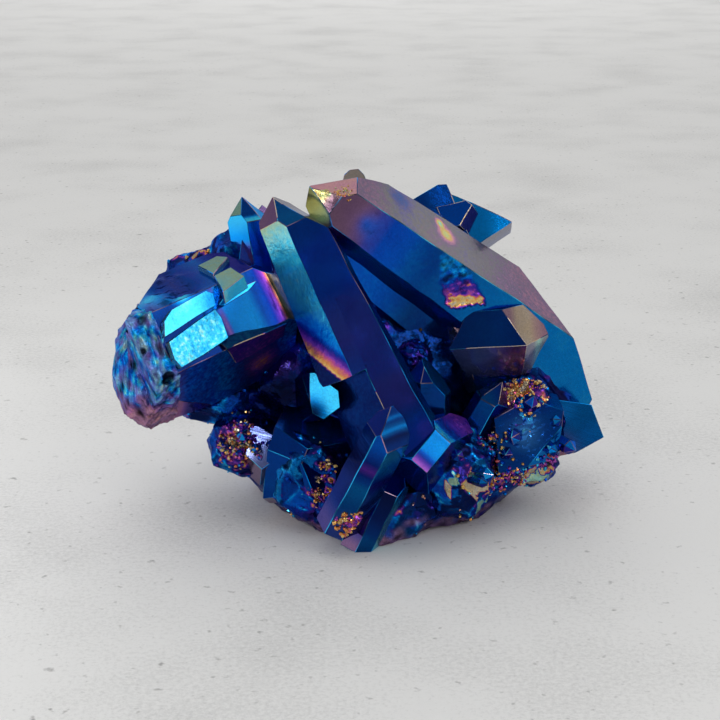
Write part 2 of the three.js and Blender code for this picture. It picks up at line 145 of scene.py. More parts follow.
CRYSTALS = (
    MAIN_POINT,
    dict(
        MAIN_POINT, name="main_point_skirt", sides=(4.1, 8, 12, 7, 6, 8.5), tips=(13,) * SIDES,
        coat={**MAIN_POINT["coat"], 0: ((-18, 0.56, 0.7), (13, 0.55, 0.72))},
    ),
    dict(
        MAIN_POINT, name="main_point_root", sides=(0.2, 7, 12, 6, 6, 7.5), tips=(37,) * SIDES,
        coat={
            0: ((-18, 0.58, 0.7), (12, 0.51, 0.4), (15, 0.525, 0.7), (18.6, 0.515, 0.75), (22, 0.5, 0.5),
                (25, 0.5, 0.3), (31.5, 0.5, 0.1), (40, 0.42, 0.3)),
            5: ((-18, 0.5, 0.65), (40, 0.45, 0.5)),
        },
    ),
    FRONT_POINT,
    dict(
        FRONT_POINT, name="front_point_foot", buried=9, sides=(6, 8.3, 5.5, 5.5, 5.9, 2.6),
        tips=(25,) * SIDES, cuts=(),
        coat={
            0: ((-7, 0.415, 0.2), (-5, 0.415, 0.15), (-3, 0.45, 0.55), (-0.8, 0.42, 0.5, 0.04),
                (3.4, 0.42, 0.45, 0.06), (5.4, 0.42, 0.3, 0.03)),
            1: ((-5, 0.535, 0), (-3, 0.5, 0.1), (-1.5, 0.51, 0.45), (0.3, 0.5, 0.3), (2, 0.51, 0),
                (4, 0.485, 0)),
            5: ((-8, 0.46, 0.6), (8, 0.45, 0.65)),
        },
    ),
    dict(
        name="west_point", foot=(-17, 4, 38), lean=12.4, bearing=141.5, roll=18.2, taper=0.3, buried=8,
        sides=(3.3, 3.4, 3, 3, 3.1, 2.3), tips=(15,) * SIDES,
        coat={
            0: ((0, 0.45, 0.3), (3.5, 0.47, 0.1), (6.8, 0.455, 0.05), (8.4, 0.49, 0), (10, 0.535, 0)),
            5: ((2, 0.42, 0.5), (3.4, 0.36, 0.25, 0.45), (4.8, 0.38, 0.1, 0.55), (6.3, 0.47, 0.05, 0.2),
                (8, 0.57, 0), (11, 0.62, 0)),
            6: ((10.4, 0.66, 0), (11.4, 0.64, 0), (11.9, 0.5, 0.6), (15, 0.5, 0.65)),
            11: ((0, 0.74, 0.7),),
            7: ((0, 0.6, 0.2),),
        },
    ),
    dict(
        name="west_prism", foot=(-29.8, -8, 30), lean=74.4, bearing=31.5, roll=43, taper=1, buried=4.3,
        sides=(7.5, 10.4, 8, 11.9, 10.3, 9), tips=(27.8,) * SIDES,
        cuts=((-140.5, 131.5, 6.1), (-124.5, 81.5, 15.7), (55.5, 100.5, 8.3)),
        frost={0: 0.8},
        coat={
            0: ((-6, 0.4, 0, 0.3), (-2, 0.48, 0), (1.5, 0.5, 0), (5.3, 0.52, 0), (8.5, 0.48, 0),
                (12.8, 0.42, 0), (16.6, 0.52, 0)),
            4: ((-6, 0.5, 0.7), (-3, 0.44, 0.6, 0.3), (0.3, 0.48, 0.66), (3.6, 0.44, 0.6, 0.1),
                (6.9, 0.5, 0.62), (10, 0.54, 0.6), (13.4, 0.42, 0.6)),
            5: ((-4, 0.46, 0.8), (6.2, 0.46, 0.75), (6.8, 0.35, 0.6, 0.4), (7.4, 0.56, 0.78),
                (11.8, 0.58, 0.74), (13.4, 0.5, 0.7), (14.6, 0.44, 0.4), (15.5, 0.35, 0.2),
                (16.2, 0.24, 0.15), (16.8, 0.11, 0.1), (17.2, 0.03, 0.1)),
            11: ((15.8, 0.3, 0.3, 0.3), (16.8, 0.13, 0.2), (17.5, 0.04, 0.1), (18, 0, 0.1)),
            6: ((0, 0.4, 0.3),),
            10: ((0, 0.52, 0.1), (18, 0.445, 0.1)),
            12: ((0, 0.595, 0.6),),
            15: ((-7, 0.2, 0, 0.8), (-3, 0.2, 0.1, 0.7), (-1.6, 0.41, 0.4, 0.2), (18, 0.42, 0.5)),
        },
    ),
    dict(
        name="lying_crystal", foot=(15.9, 1.5, 28.7), lean=87.7, bearing=3.7, roll=-29.4, taper=-0.7,
        buried=6, sides=(4.5, 4, 5.8, 4, 4.5, 5.7), tips=(21.5,) * SIDES,
        cuts=((-43, 69.7, 7.7), (33.5, 53, 10), (-118, 45.6, 11.7), (-110.5, 18, 14.7), (86, 23.6, 13.8),
              (-145, 147, -0.6), (116, 156, 0.3)),
        frost={0: 0.1},
        coat={
            0: ((0, 0.485, 0.75), (7, 0.5, 0.7), (12, 0.45, 0.65)),
            1: ((-6, 0.58, 0, 0.5), (3, 0.58, 0, 0.5), (5.2, 0.56, 0, 0.5), (7.6, 0.5, 0, 0.5),
                (10, 0.4, 0.1, 0.45), (13, 0.28, 0.1, 0.7)),
            5: ((-6, 0.45, 0.65), (12, 0.47, 0.6)),
            13: ((8.8, 0.02, 0.4, 0.75), (10, 0.015, 0.25, 0.15), (12, 0.015, 0.2, 0.1), (13, 0.03, 0.2, 0.5),
                 (14.4, 0.05, 0.3, 0.8)),
            14: ((11, 0.74, 0.5, 0.8), (12.6, 0.74, 0.25, 0.6), (13.6, 0.74, 0.05), (14.6, 0.75, 0.3, 0.5)),
            15: ((0, 0, 0.1, 0.6),),
            16: ((0, 0.02, 0.1, 0.4),),
        },
    ),
    dict(
        name="foot_crystal", foot=(-0.8, -20, 9.2), lean=26.3, bearing=-25, roll=58, taper=0.7, buried=6,
        sides=(2.2, 4.7, 3.6, 3.6, 3.4, 3.1), tips=(14.3, 20.2, 19.6, 19.6, 17.6, 18),
        coat={
            0: ((-4.2, 0.45, 0.3, 0.3), (-0.7, 0.5, 0.5, 0.1), (2.8, 0.52, 0.45), (4.6, 0.38, 0.2),
                (6.3, 0.54, 0), (9.9, 0.65, 0), (11.5, 0.64, 0.1)),
            4: ((-4, 0.45, 0.4, 0.3), (0, 0.45, 0.6), (7.7, 0.45, 0.8), (11.5, 0.5, 0.6)),
            5: ((-4, 0.48, 0.6, 0.1), (0, 0.52, 0.72), (4, 0.56, 0.7), (6, 0.46, 0.6), (7.5, 0.32, 0.4),
                (9, 0.44, 0.55), (11.8, 0.5, 0.3)),
            6: ((12.2, 0.5, 0.65), (13.2, 0.48, 0.85), (13.9, 0.55, 0.5), (14.2, 0.58, 0), (14.5, 0.55, 0.5),
                (15.2, 0.5, 0.6), (15.6, 0.56, 0.1), (16, 0.5, 0.6)),
            10: ((0, 0.415, 0.6),),
            11: ((0, 0.42, 0.65),),
        },
    ),
    dict(
        name="capped_crystal", foot=(6.9, -20, 10.2), lean=56.2, bearing=45.6, roll=-5.6, taper=-0.7,
        buried=-3.5, sides=(4.2, 2.1, 4, 4, 4, 4.9), tips=(15.5, 20.6, 20.4, 20.4, 18.4, 18),
        frost={6: 0.55},
        coat={
            0: ((3, 0.2, 0.5, 0.3), (4.2, 0.3, 0.5, 0.1), (5.3, 0.46, 0.62), (6.2, 0.56, 0.6),
                (8.4, 0.585, 0.62), (9.6, 0.57, 0.65), (10.6, 0.62, 0.2)),
            5: ((4.3, 0.54, 0.4), (5.9, 0.5, 0.55), (7.5, 0.5, 0.45), (9, 0.41, 0.1)),
            6: ((10.4, 0.65, 0), (11.2, 0.62, 0), (11.7, 0.5, 0), (12.5, 0.45, 0.3), (13.6, 0.37, 0),
                (15.3, 0.3, 0), (16.7, 0.28, 0), (18, 0.3, 0.1)),
            1: ((5.2, 0.46, 0.4), (7.4, 0.48, 0.1), (9.6, 0.45, 0.15, 0.35), (11.8, 0.62, 0.45),
                (14, 0.415, 0.3)),
        },
    ),
    dict(
        name="heel_crystal", foot=(0.8, -16.5, 0.7), lean=27.3, bearing=24, roll=3.5, taper=-1, buried=3,
        sides=(2.9, 2.3, 3.2, 3.2, 3.2, 2.6), tips=(13, 14, 14, 14, 14, 13),
        coat={
            0: ((0.7, 0.53, 0.75), (2.6, 0.47, 0.75), (4.5, 0.425, 0.8), (8.2, 0.43, 0.88)),
            1: ((1.5, 0.69, 0.15), (5.5, 0.68, 0.28), (7.4, 0.67, 0.15), (9.4, 0.59, 0.5)),
            5: ((-1.2, 0.42, 0.3, 0.7), (0.3, 0.45, 0.4, 0.3), (1.8, 0.32, 0.2), (3.2, 0.33, 0.3, 0.5),
                (4.7, 0.415, 0.25)),
            6: ((0, 0.445, 0.65),),
        },
    ),
    dict(
        name="pocket_prism", foot=(11, -6.5, 12), lean=6, bearing=90, roll=12, buried=6,
        sides=(3.4, 3.6, 3.4, 3.4, 3.6, 3.4), tips=(17, 15, 17, 17, 17, 17),
        coat={
            0: ((-6, 0.5, 0.8), (13, 0.505, 0.65)),
            6: ((0, 0.425, 0.4),),
            7: ((0, 0.53, 0.2),),
            11: ((0, 0.435, 0.2),),
        },
    ),
    dict(
        name="pocket_blade", foot=(17.5, -4, 12), lean=28, bearing=8, roll=-18, buried=6,
        sides=(3, 2.6, 3, 3, 2.6, 2.8), tips=(13,) * SIDES,
        coat={
            0: ((0, 0.45, 0.4), (8, 0.51, 0.5), (13, 0.52, 0.6)),
            5: ((0, 0.45, 0.5),),
            6: ((0, 0.52, 0.7),),
            7: ((0, 0.5, 0.35, 0.5),),
            11: ((0, 0.59, 0.9),),
        },
    ),
    dict(
        name="north_west_point", foot=(-10, 13, 24), lean=44, bearing=118, roll=20, taper=2, buried=8,
        sides=(4.4, 4, 3.8, 4.6, 4, 4.2), tips=(23, 24, 22, 23, 22, 24),
        coat={
            0: ((0, 0.42, 0.1), (20, 0.55, 0.1)),
            1: ((0, 0.3, 0.1), (8, 0.48, 0.1), (20, 0.62, 0.1)),
            2: ((0, 0.45, 0.1), (20, 0.52, 0.1)),
            3: ((0, 0.12, 0.1), (4, 0.3, 0.1), (9, 0.5, 0.1), (20, 0.66, 0.1)),
            4: ((0, 0.4, 0.1), (20, 0.5, 0.1)),
            5: ((0, 0.5, 0.1), (20, 0.58, 0.1)),
        },
    ),
    dict(
        name="north_point", foot=(4, 15, 20), lean=62, bearing=84, roll=5, taper=1.5, buried=8,
        sides=(3.2, 3.6, 3, 3.2, 3.6, 3), tips=(18, 19, 17, 18, 19, 18),
        coat={
            0: ((0, 0.4, 0.1), (16, 0.5, 0.1)),
            2: ((0, 0.3, 0.1), (7, 0.5, 0.1), (16, 0.64, 0.1)),
            3: ((0, 0.45, 0.1), (16, 0.56, 0.1)),
            4: ((0, 0.2, 0.1), (5, 0.36, 0.1), (16, 0.52, 0.1)),
        },
    ),
    dict(
        name="north_east_point", foot=(20, 13, 22), lean=58, bearing=50, roll=35, taper=2, buried=8,
        sides=(3.8, 3.4, 3.6, 3.8, 3.2, 3.6), tips=(17, 18, 16, 17, 18, 17),
        coat={
            0: ((0, 0.45, 0.1), (15, 0.6, 0.1)),
            1: ((0, 0.5, 0.1), (15, 0.42, 0.1)),
            2: ((0, 0.25, 0.1), (6, 0.42, 0.1), (15, 0.55, 0.1)),
            3: ((0, 0.5, 0.1), (15, 0.62, 0.1)),
        },
    ),
)
NAMED = {crystal["name"]: crystal for crystal in CRYSTALS}

# Small blocky crystals: a middle, and for each flat face the lean of its normal from upright, its bearing
# and its distance from the middle, then its film thickness, dimming and, where there is one, veil.
BLOCKS = {
    "back_plate_peak": ((12.4, 15.9, 49.8), ((68, -98, 1, 0.5, 0.6), (41, 139, 1.8, 0.5, 0.4),
        (26, 93, 2.6, 0.03, 0.2, 0.3), (72, 17, 3, 0.6, 0.2), (155, 169, 9, 0.45, 0.5),
        (96, 164, 3.5, 0.5, 0.4), (112, 82, 5, 0.5, 0.4))),
    "back_plate_wing": ((19.6, 15.1, 47.2), ((68, -98, 1, 0.575, 0.42), (34, 46, 2, 0.02, 0.1),
        (38, 39, 1.9, 0.9, 0.1), (136, -37, 4.6, 0, 0), (160, 153, 8, 0.45, 0.4), (96, 163, 6, 0.5, 0.4),
        (112, 82, 6, 0.5, 0.4))),
    "back_cap": ((16.3, 12.8, 47.8), ((55, -105, 1, 0.485, 0.25), (25, 119, 2.4, 0, 0.15, 0.45),
        (47, 21, 3.2, 0.02, 0.1, 0.2), (98, -40, 2, 0.45, 0.3, 0.3), (136, -79, 2.3, 0.44, 0.5),
        (95, -154, 2.4, 0.62, 0), (145, 178, 1.1, 0.45, 0.4), (125, 75, 5, 0.5, 0.4))),
    "bright_chip": ((-5.7, -11.1, 23.6), ((75, -115, 1, 0.63, 0.15), (27, 81, 3.4, 0.66, 0.2),
        (48, 32, 1.7, 0.6, 0.3), (89, 17, 1.7, 0.42, 0.6), (141, 0, 2.5, 0.42, 0.6),
        (129, -133, 3.3, 0.4, 0.5), (92, -160, 2.3, 0.445, 0.62), (82, -150, 2, 0.5, 0.75),
        (105, 65, 6, 0.5, 0.4))),
    "east_corner": ((38, 2, 13.7), ((80, -85, 1, 0.55, 0.55), (71, 15, 2.3, 0.5, 0.4),
        (152, -3, 2.9, 0, 0.1, 0.7), (135, -107, 4.4, 0, 0.05, 0.6), (89, 157, 7, 0.5, 0.4),
        (28, 74, 3.6, 0.6, 0.4), (100, 95, 7, 0.5, 0.4))),
    "south_west_block": ((-14.9, -8.1, 14.4), ((60, -100, 1.1, 0.58, 0.5, 0.5),
        (32, 119, 3.2, 0.66, 0.2, 0.3), (44, 42, 1.3, 0.6, 0.3), (83, -10, 2.4, 0, 0.1, 0.3),
        (129, -47, 3.4, 0.02, 0.1, 0.5), (118, -139, 4.1, 0, 0.25, 0.7), (84, 171, 3.4, 0.2, 0.3),
        (120, 80, 4.9, 0.5, 0.4))),
    "summit_knob": ((-0.8, 4.9, 55.8), ((70, -90, 1, 0, 0.35, 0.1), (80, 163, 1.6, 0, 0.45, 0.2),
        (48, 149, 1.4, 0, 0.4, 0.1), (26, 104, 1.3, 0, 0.3, 0.2), (53, 28, 1.3, 0, 0.4),
        (73, 19, 1.4, 0, 0.45), (140, -90, 5, 0.5, 0.4), (110, 90, 3, 0.5, 0.4))),
    "east_face": ((28, -3.5, 15), ((72, -90, 3.9, 0.5, 0.55), (29, 180, 5.6, 0.5, 0.3, 0.4),
        (20, 0, 5.9, 0.58, 0.3), (96, 0, 5, 0.5, 0.5), (150, -60, 6, 0.45, 0.5), (95, 178, 5.5, 0.4, 0.5),
        (95, 95, 5, 0.5, 0.4), (100, -60, 5.2, 0.55, 0.5))),
    "south_face": ((-8.5, -9, 12), ((60, -110, 5, 0.47, 0.45), (100, -120, 4.7, 0.5, 0.5),
        (80, -60, 4.2, 0.44, 0.5), (25, -60, 4.5, 0.5, 0.4), (80, 165, 6, 0.58, 0.4), (150, -90, 6, 0.9, 0.3),
        (100, 80, 5, 0.5, 0.4))),
    "west_chip": ((-16.7, 7.8, 48.8), ((60, -60, 1, 0.42, 0.3, 0.5), (63, 162, 0.7, 0.35, 0.4),
        (46, 38, 1.7, 0.6, 0.2), (77, 22, 1.4, 0.45, 0.3), (137, 9, 7, 0.45, 0.3), (91, 170, 2, 0.45, 0.3),
        (120, 120, 3, 0.45, 0.3))),
}

# Lumps of matrix: middle, half widths, number of large flats, how deep they cut, seed and mesh spacing.
LUMPS = {
    "core": ((-3, 8, 20), (23, 14, 18), 30, 0.12, 1, 0.5),
    "west_ridge": ((-26.5, 8, 33.5), (9.2, 8.5, 10.6), 26, 0.18, 3, 0.3),
    "west_under": ((-23, 4, 19.5), (8.5, 7.5, 6.5), 24, 0.12, 14, 0.35),
    "west_saddle": ((-20, 8, 38), (7.5, 7.5, 9.2), 24, 0.14, 4, 0.3),
    "south_west": ((-18.5, -2, 12.5), (7.8, 7.5, 6), 26, 0.12, 5, 0.22),
    "south": ((-8, -8, 9), (8, 7, 8.5), 24, 0.14, 6, 0.22),
    "south_east": ((15, -7.5, 9), (8.5, 7, 9), 26, 0.14, 7, 0.22),
    "east": ((27, -1, 13.5), (8.2, 6.5, 9.8), 28, 0.12, 8, 0.22),
    "east_foot": ((26, 0, 9.5), (8.4, 7.5, 5.6), 24, 0.12, 9, 0.22),
    "east_back": ((27, 9, 17), (11, 9, 12), 26, 0.2, 10, 0.4),
    "north_east": ((12, 13, 22), (16, 11.5, 16), 26, 0.22, 11, 0.45),
    "north_west": ((-12, 14, 20), (15, 11.5, 15), 26, 0.22, 12, 0.45),
    "north_summit": ((13, 13, 30), (11, 8, 12), 24, 0.16, 15, 0.4),
}
WEST_END = ((-34.2, -6, 27), (6, 9.4, 9.6), 30, 0.1, 2)
POCKET_BALL = ((8.7, -0.5, 26.4), (3.3, 3.3, 3.6), 40, 0.06, 13)
BALL_SPACING = 0.14
BALL_RADIUS = 3.3

# The west prism's broken end: where it starts along the axis, its middle, and its pits by middle and radius.
BARK_START = 3.7
BARK_MIDDLE = (-34.2, -9, 28)
BARK_SPACING = 0.2
BARK_RADIUS = 10.5
BARK_PITS = (
    ((-29.64, -18.97, 28.9), 1.25), ((-36.5, -16.5, 36.5), 0.8), ((-37.5, -15.5, 30), 0.7),
    ((-33.5, -19, 33.5), 0.55), ((-35.5, -17.5, 26.5), 0.6), ((-38.5, -13, 33), 0.6),
)

# Patches of ripples. The one on the main point narrows upwards: by height, its middle across and its half
# width.
RIPPLE_SPAN = (
    (35.4, 17.8, 3.2), (37.2, 17, 3.3), (38.2, 16.6, 3.3), (40.2, 15.8, 3), (44.5, 14.6, 1.7),
    (45.5, 14.4, 0.4),
)
RIPPLE_FILMS = (
    (35.8, 0.02), (36.6, 0.07), (37.2, 0.14), (37.8, 0.22), (38.6, 0.33), (39.6, 0.42), (41, 0.5),
    (42.6, 0.58), (45, 0.64),
)
SHELL_PATCH = (28.0, -7.0, 15.5)
SHELL_REACH = 8.0
# Long in one direction and short across it, for the ripples of a broken shell.
SHELL_TURN = np.array([[0.4, 0.0, -0.7], [0.0, 0.6, 0.0], [0.25, 0.0, 1.1]])

# The foot of the matrix: its rim on the floor, and its rim where the lumps take over.
FLOOR_RIM = (
    (0.5, -19), (6.5, -13), (13.5, -9.5), (19.5, -5.5), (24.5, 4), (20, 17), (2, 23), (-13, 19), (-18, 11),
    (-15.5, 2), (-10, -6), (-4.5, -14),
)
UPPER_RIM = (
    (2, -17.5, 8), (10, -13, 9), (18, -9, 8), (26, -6, 8), (34, 1, 10), (34, 9, 12), (24, 19, 13),
    (0, 25, 13), (-18, 19, 13), (-24, 4, 14), (-23, -2, 12), (-18, -7, 11), (-8, -13, 9),
)
RIM_DEPTH = 1.0
RIM_LIFT = np.array([0, 0, 0.5])
RIM_RADIUS = 18.67
RIM_SEED = 41
RIM_SPACING = 0.32

# Thin plates of later growth, each on one side of a crystal: the crystal, its side, rise, the top's film
# and dimming, frost, the walls' film and dimming, and the corners along the axis from the crystal's foot
# and across.
PLATES = (
    ("west_prism", 5, 1.2, (0.66, 0.15), 0.12, (0.7, 0.1),
     ((-4, 2.3), (-3, 4.6), (-1.2, 5.7), (5.4, 6.3), (6.3, 5.4), (5.8, 3.5))),
    ("west_prism", 5, 1.1, (0.65, 0), 0.7, (0.7, 0.1),
     ((-3.7, 1.4), (5.5, 3), (5.9, 1.2), (5.5, -1.9), (0.7, -2.7), (-3.7, -3), (-4.2, -1.3))),
    ("west_prism", 5, 1, (0.62, 0), 0.03, (0.7, 0.1),
     ((6.4, 3.4), (8.2, 4.4), (14.3, 4.5), (11.9, 3.5), (7.3, 2.9))),
    ("west_prism", 0, 0.5, (0.33, 0), 0.7, (0.55, 0.85), ((4.4, 7), (15.9, 5.7), (15.5, 2.8), (6.5, 1.5))),
    ("west_prism", 4, 0.9, (0.755, 0.6), 0.2, (0.7, 0.1),
     ((8.6, 2.8), (12.6, 3.5), (13.6, 1.5), (8.9, -2.3))),
    ("west_prism", 4, 0.6, (0.765, 0.55), 0.2, (0.7, 0.1),
     ((8.9, -2.4), (12.1, -2), (11.8, -7), (6.8, -8.8))),
)
PLATE_ROOT = 1.5
PLATE_FLARE = 1.08

# Fields of small points that stand out of a lump: the lump, number, length, seed, and the bearings and the
# heights on it that they stand between.
FIELDS = (
    ("east", 9, 3, 21, (-130, -35), (-0.2, 0.8)),
    ("south_west", 7, 2.4, 22, (-120, -40), (-0.3, 0.6)),
    ("south_east", 5, 2.6, 23, (-140, -40), (0, 0.7)),
    ("west_ridge", 7, 2.4, 24, (60, 150), (-0.2, 0.6)),
    ("north_east", 9, 5, 25, (10, 140), (-0.5, 0.6)),
    ("north_west", 9, 5, 26, (50, 190), (-0.5, 0.7)),
    ("east_back", 6, 3.4, 27, (30, 110), (-0.3, 0.6)),
)
POINTLET_WIDTH = 0.34
POINTLET_BURIED = 0.8
POINTLET_FAN = 25

# Local changes of the coat: middle, reach, film thickness (None leaves it), dimming, veil and strength.
# Those dimmed by 0.7 and more are painted shade: in the hollow under the west prism, below the bright
# chip and in the pocket between the main and front points.
TINTS_AND_PAINTED_SHADE = (
    ((6.5, 1, 53.4), 2.8, 1.07, 0.5, 0, 0.85), ((1.3, -7.2, 50.6), 2.6, 0.5, 0, 0, 1),
    ((14.2, 2.6, 47), 2.1, 0.8, 0, 0, 1), ((13, 4, 48.4), 1, 0.68, 0, 0, 0.9),
    ((-28.2, -12.4, 41), 2.2, 0.8, 0, 0, 0.8), ((-23.4, -10.8, 39.2), 3.4, 0.56, 0.45, 0, 1),
    ((28.3, -1.2, 26), 1.8, None, 0.1, 0.8, 0.9), ((-15.6, -5.5, 26.8), 3.4, 0.12, 0, 0.3, 1),
    ((-18.6, -8.4, 31), 3, 0.24, 0.1, 0.3, 0.5), ((-7.3, -11.7, 20.9), 2.6, 0.5, 0.95, 0, 1),
    ((-12.5, -4, 22), 5.5, 0.42, 0.94, 0, 1), ((-16, -3.4, 20), 4, 0.42, 0.92, 0, 0.9),
    ((9.5, 1, 30.5), 5, 0.48, 0.75, 0, 0.9), ((13.3, -0.5, 26.4), 4, 0.5, 0.72, 0, 0.9),
    ((17.3, 1.8, 21.8), 4, 0.46, 0.7, 0, 0.95), ((-33.5, -11, 37.5), 4.2, 0.73, 0, 0, 0.9),
    ((25.8, -3.4, 21.6), 3, 0.06, 0, 0, 1), ((29.5, -4.2, 21), 2.2, 0.22, 0, 0, 0.8),
    ((27, -7, 16), 3.2, 0.62, 0.2, 0.2, 0.7), ((33.5, -0.5, 10), 3.2, 0.4, 0.2, 0.8, 0.8),
)

# By middle and reach: places where the crystal edges are painted pale and bright, as a painted highlight
# (the first list), where some of the rock's scoops are pale (PALE_ROCK), where the rock is finely rippled
# (SHELLS), and crusts of sparkle on the rock (CRUSTS).
EDGE_HIGHLIGHT_SPOTS = (
    ((-18, -9.5, 26.5), 8), ((24, -2.5, 27), 7), ((-15, -4, 51), 4), ((16, 12, 48), 4.5),
    ((1.5, -10, 25.5), 4), ((3, -17, 22), 4),
)
PALE_ROCK = (
    ((17, -14, 9.5), 3.4), ((20.5, -11.5, 6), 3.8), ((30, -4, 7), 3), ((-25, 4, 41), 4),
)
SHELLS = (((27, -6.8, 14.5), 8),)
CRUSTS = (
    ((-20.4, -9.1, 14.4), 4.6), ((-6.5, -14.2, 8.6), 3), ((-5, -14.5, 12.5), 2), ((-2.5, -21, 4.5), 3.2),
    ((26.5, -3.6, 21.3), 3.8), ((30, -4.5, 21), 2.4), ((21.5, -7.5, 15.5), 2.8), ((24, -8.5, 9), 4.6),
    ((31.5, -5.5, 11), 2.8), ((-26, 3, 42), 2.5),
)

# Patches of tiny points: middle, reach, number, size, and the films found in it.
DRUSE = (
    ((-20.4, -9.1, 14.4), 4.6, 190, 0.42, (0.34, 0.27, 0.22, 0.13, 0.08, 0.04, 0)),
    ((-6.1, -14.2, 8.6), 2.6, 70, 0.42, (0.24, 0.16, 0.12, 0.06, 0)),
    ((-5, -14.5, 12.5), 1.8, 26, 0.4, (0.5, 0.14, 0.08, 0.03)),
    ((-1.5, -22.6, 6), 2.6, 110, 0.5, (0.3, 0.22, 0.14, 0.08, 0.02)),
    ((27.5, -3.8, 21.5), 4.4, 260, 0.45, (0.26, 0.14, 0.09, 0.05, 0.03, 0)),
    ((24.5, -7.5, 8), 4.4, 230, 0.42, (0.64, 0.5, 0.26, 0.18, 0.1, 0.04)),
    ((30.5, -6.2, 12), 2.8, 90, 0.45, (0.64, 0.42, 0.24, 0.16, 0.05)),
    ((21.8, -7.8, 15), 2.6, 80, 0.42, (0.6, 0.24, 0.12, 0.05)),
    ((-2.4, -7, 56), 1.7, 50, 0.24, (0.1, 0.12, 0.06, 0.8)),
    ((-5.4, -7.4, 55.6), 1.1, 30, 0.22, (0.8, 0.78, 0.82)),
)
LOOSE_FILMS = (0.46, 0.52, 0.58, 0.64, 0.9, 0.1)

# The film's colours by thickness.
FILM_SCALE = (
    ("silver", 0.0, (0.62, 0.55, 0.47)),
    ("straw", 0.07, (0.85, 0.6, 0.2)),
    ("bronze", 0.14, (0.8, 0.3, 0.08)),
    ("rose", 0.2, (0.6, 0.1, 0.28)),
    ("purple", 0.26, (0.26, 0.06, 0.5)),
    ("violet", 0.33, (0.085, 0.024, 0.36)),
    ("navy", 0.42, (0.002, 0.03, 0.34)),
    ("royal", 0.5, (0.0, 0.1, 0.6)),
    ("azure", 0.58, (0.0, 0.32, 0.95)),
    ("cyan", 0.66, (0.06, 0.65, 0.95)),
    ("sea_green", 0.73, (0.4, 0.8, 0.72)),
    ("yellow_green", 0.8, (0.7, 0.78, 0.3)),
    ("gold", 0.86, (0.95, 0.62, 0.2)),
    ("pink", 0.91, (0.85, 0.4, 0.5)),
    ("mauve", 0.955, (0.4, 0.28, 0.4)),
    ("ash", 0.985, (0.36, 0.34, 0.32)),
    ("lilac", 1.02, (0.32, 0.28, 0.5)),
    ("second_blue", 1.08, (0.12, 0.26, 0.7)),
)
FILM_TOP = 1.1
VEIL = (0.45, 0.24, 0.4)
# Films of the narrow edge faces: pale, a painted highlight along the crystal edges.
EDGE_HIGHLIGHT_FILMS = np.array((0.6, 0.62, 0.96, 0.56, 0.94, 0.58, 0.66))

# Finishes: which relief, the film group's mottle, mottle scale, fine mottle, grain and roughness, the relief
# group's first two inputs, and the depth of the relief.
FINISHES = {
    "coated_faces": ("growth", (0.06, 170.0, 0.02, 0.7, 0.1), (0.5, 0.25), 0.03),
    "coated_rock": ("broken", (0.12, 350.0, 0.06, 1.2, 0.12), (0.7, 0.4), 0.09),
    "coated_bark": ("broken", (0.14, 500.0, 0.06, 1.4, 0.18), (1.0, 0.3), 0.15),
    "coated_druse": ("growth", (0.08, 700.0, 0.03, 0.3, 0.06), (0.0, 0.2), 0.01),
}

# Pieces made of several crystals or several lumps.
CRYSTAL_GROUPS = {
    "west_point": ("west_point",),
    "lying_crystal": ("lying_crystal",),
    "foot_crystals": ("foot_crystal", "capped_crystal", "heel_crystal"),
    "pocket_crystals": ("pocket_prism", "pocket_blade"),
    "north_crystals": ("north_west_point", "north_point", "north_east_point"),
}
ROCK_GROUPS = {
    "matrix_core": ("core", "west_under"),
    "matrix_west": ("west_ridge", "west_saddle"),
    "matrix_front": ("south_west", "south"),
    "matrix_east": ("south_east", "east"),
    "matrix_east_foot": ("east_foot", "east_back"),
    "matrix_north": ("north_east", "north_west", "north_summit"),
}

# Lights: watts, azimuth from +Y towards +X and elevation in degrees, distance and size in metres, what it
# is aimed at (None for the cluster), whether the film mirrors it, and what it is.
LIGHTS = {
    "overhead": (1.15, 230, 76, 0.75, (0.6, 0.6), None, False, "large light above"),
    "key": (0.26, 130, 32, 0.42, (0.2, 0.2), None, True, "soft light at the front right"),
    "spark": (0.18, 203, 31, 0.5, (0.05, 0.05), None, True, "small light at the front left"),
    "low": (0.055, 230, 9, 0.5, (0.12, 0.12), None, True, "soft light low at the left"),
    "side": (0.12, 0, 90, 0.08, (0.14, 0.16), (-0.19, -0.02, 0.0), False, "light over the floor at the left"),
    "far": (2.6, 0, 60, 0.7, (0.8, 0.8), (0.0, 0.8, 0.0), False, "light over the floor behind"),
}
CAMERA_PLACE = (-0.56, -273.16, 108.94)
CAMERA_AIM = (-0.56, -2.53, 26.2)
LENS = 85.0


def direction(lean, bearing):
    """The unit vector that leans from upright towards a bearing, both in degrees; arrays give rows."""
    tilt, turn = np.radians(lean), np.radians(bearing)
    out = np.sin(tilt)
    return np.stack([out * np.cos(turn), out * np.sin(turn), np.cos(tilt) + 0 * turn], axis=-1)


def unit(vectors):
    """Vectors at length one."""
    return vectors / np.linalg.norm(vectors, axis=-1, keepdims=True)


def placed(spot):
    """A spot of the lists in the frame."""
    return np.array(spot, float) - MIDDLE


def distances(points, spot):
    """How far each point is from a spot of the lists."""
    return np.linalg.norm(points - placed(spot), axis=1)


def part(values):
    """Values held between 0 and 1."""
    return np.clip(values, 0, 1)


def scatter(index, seed):
    """A fixed sequence of numbers from 0 to 1 that looks random: the fraction of a large sine."""
    wave = np.sin(index * 12.9898 + seed * 78.233) * 43758.5453
    return wave - np.floor(wave)


def swell(points, size, seed):
    """Smooth noise of about unit height: sines along random directions, about size millimetres long."""
    rng = np.random.default_rng(seed)
    ways = unit(rng.normal(size=(WAVES, 3))) * (2 * np.pi / size) * rng.uniform(0.6, 1.5, (WAVES, 1))
    phases = rng.uniform(0, 2 * np.pi, WAVES)
    return np.sin(points @ ways.T + phases).sum(axis=1) * (1.2 / math.sqrt(WAVES))


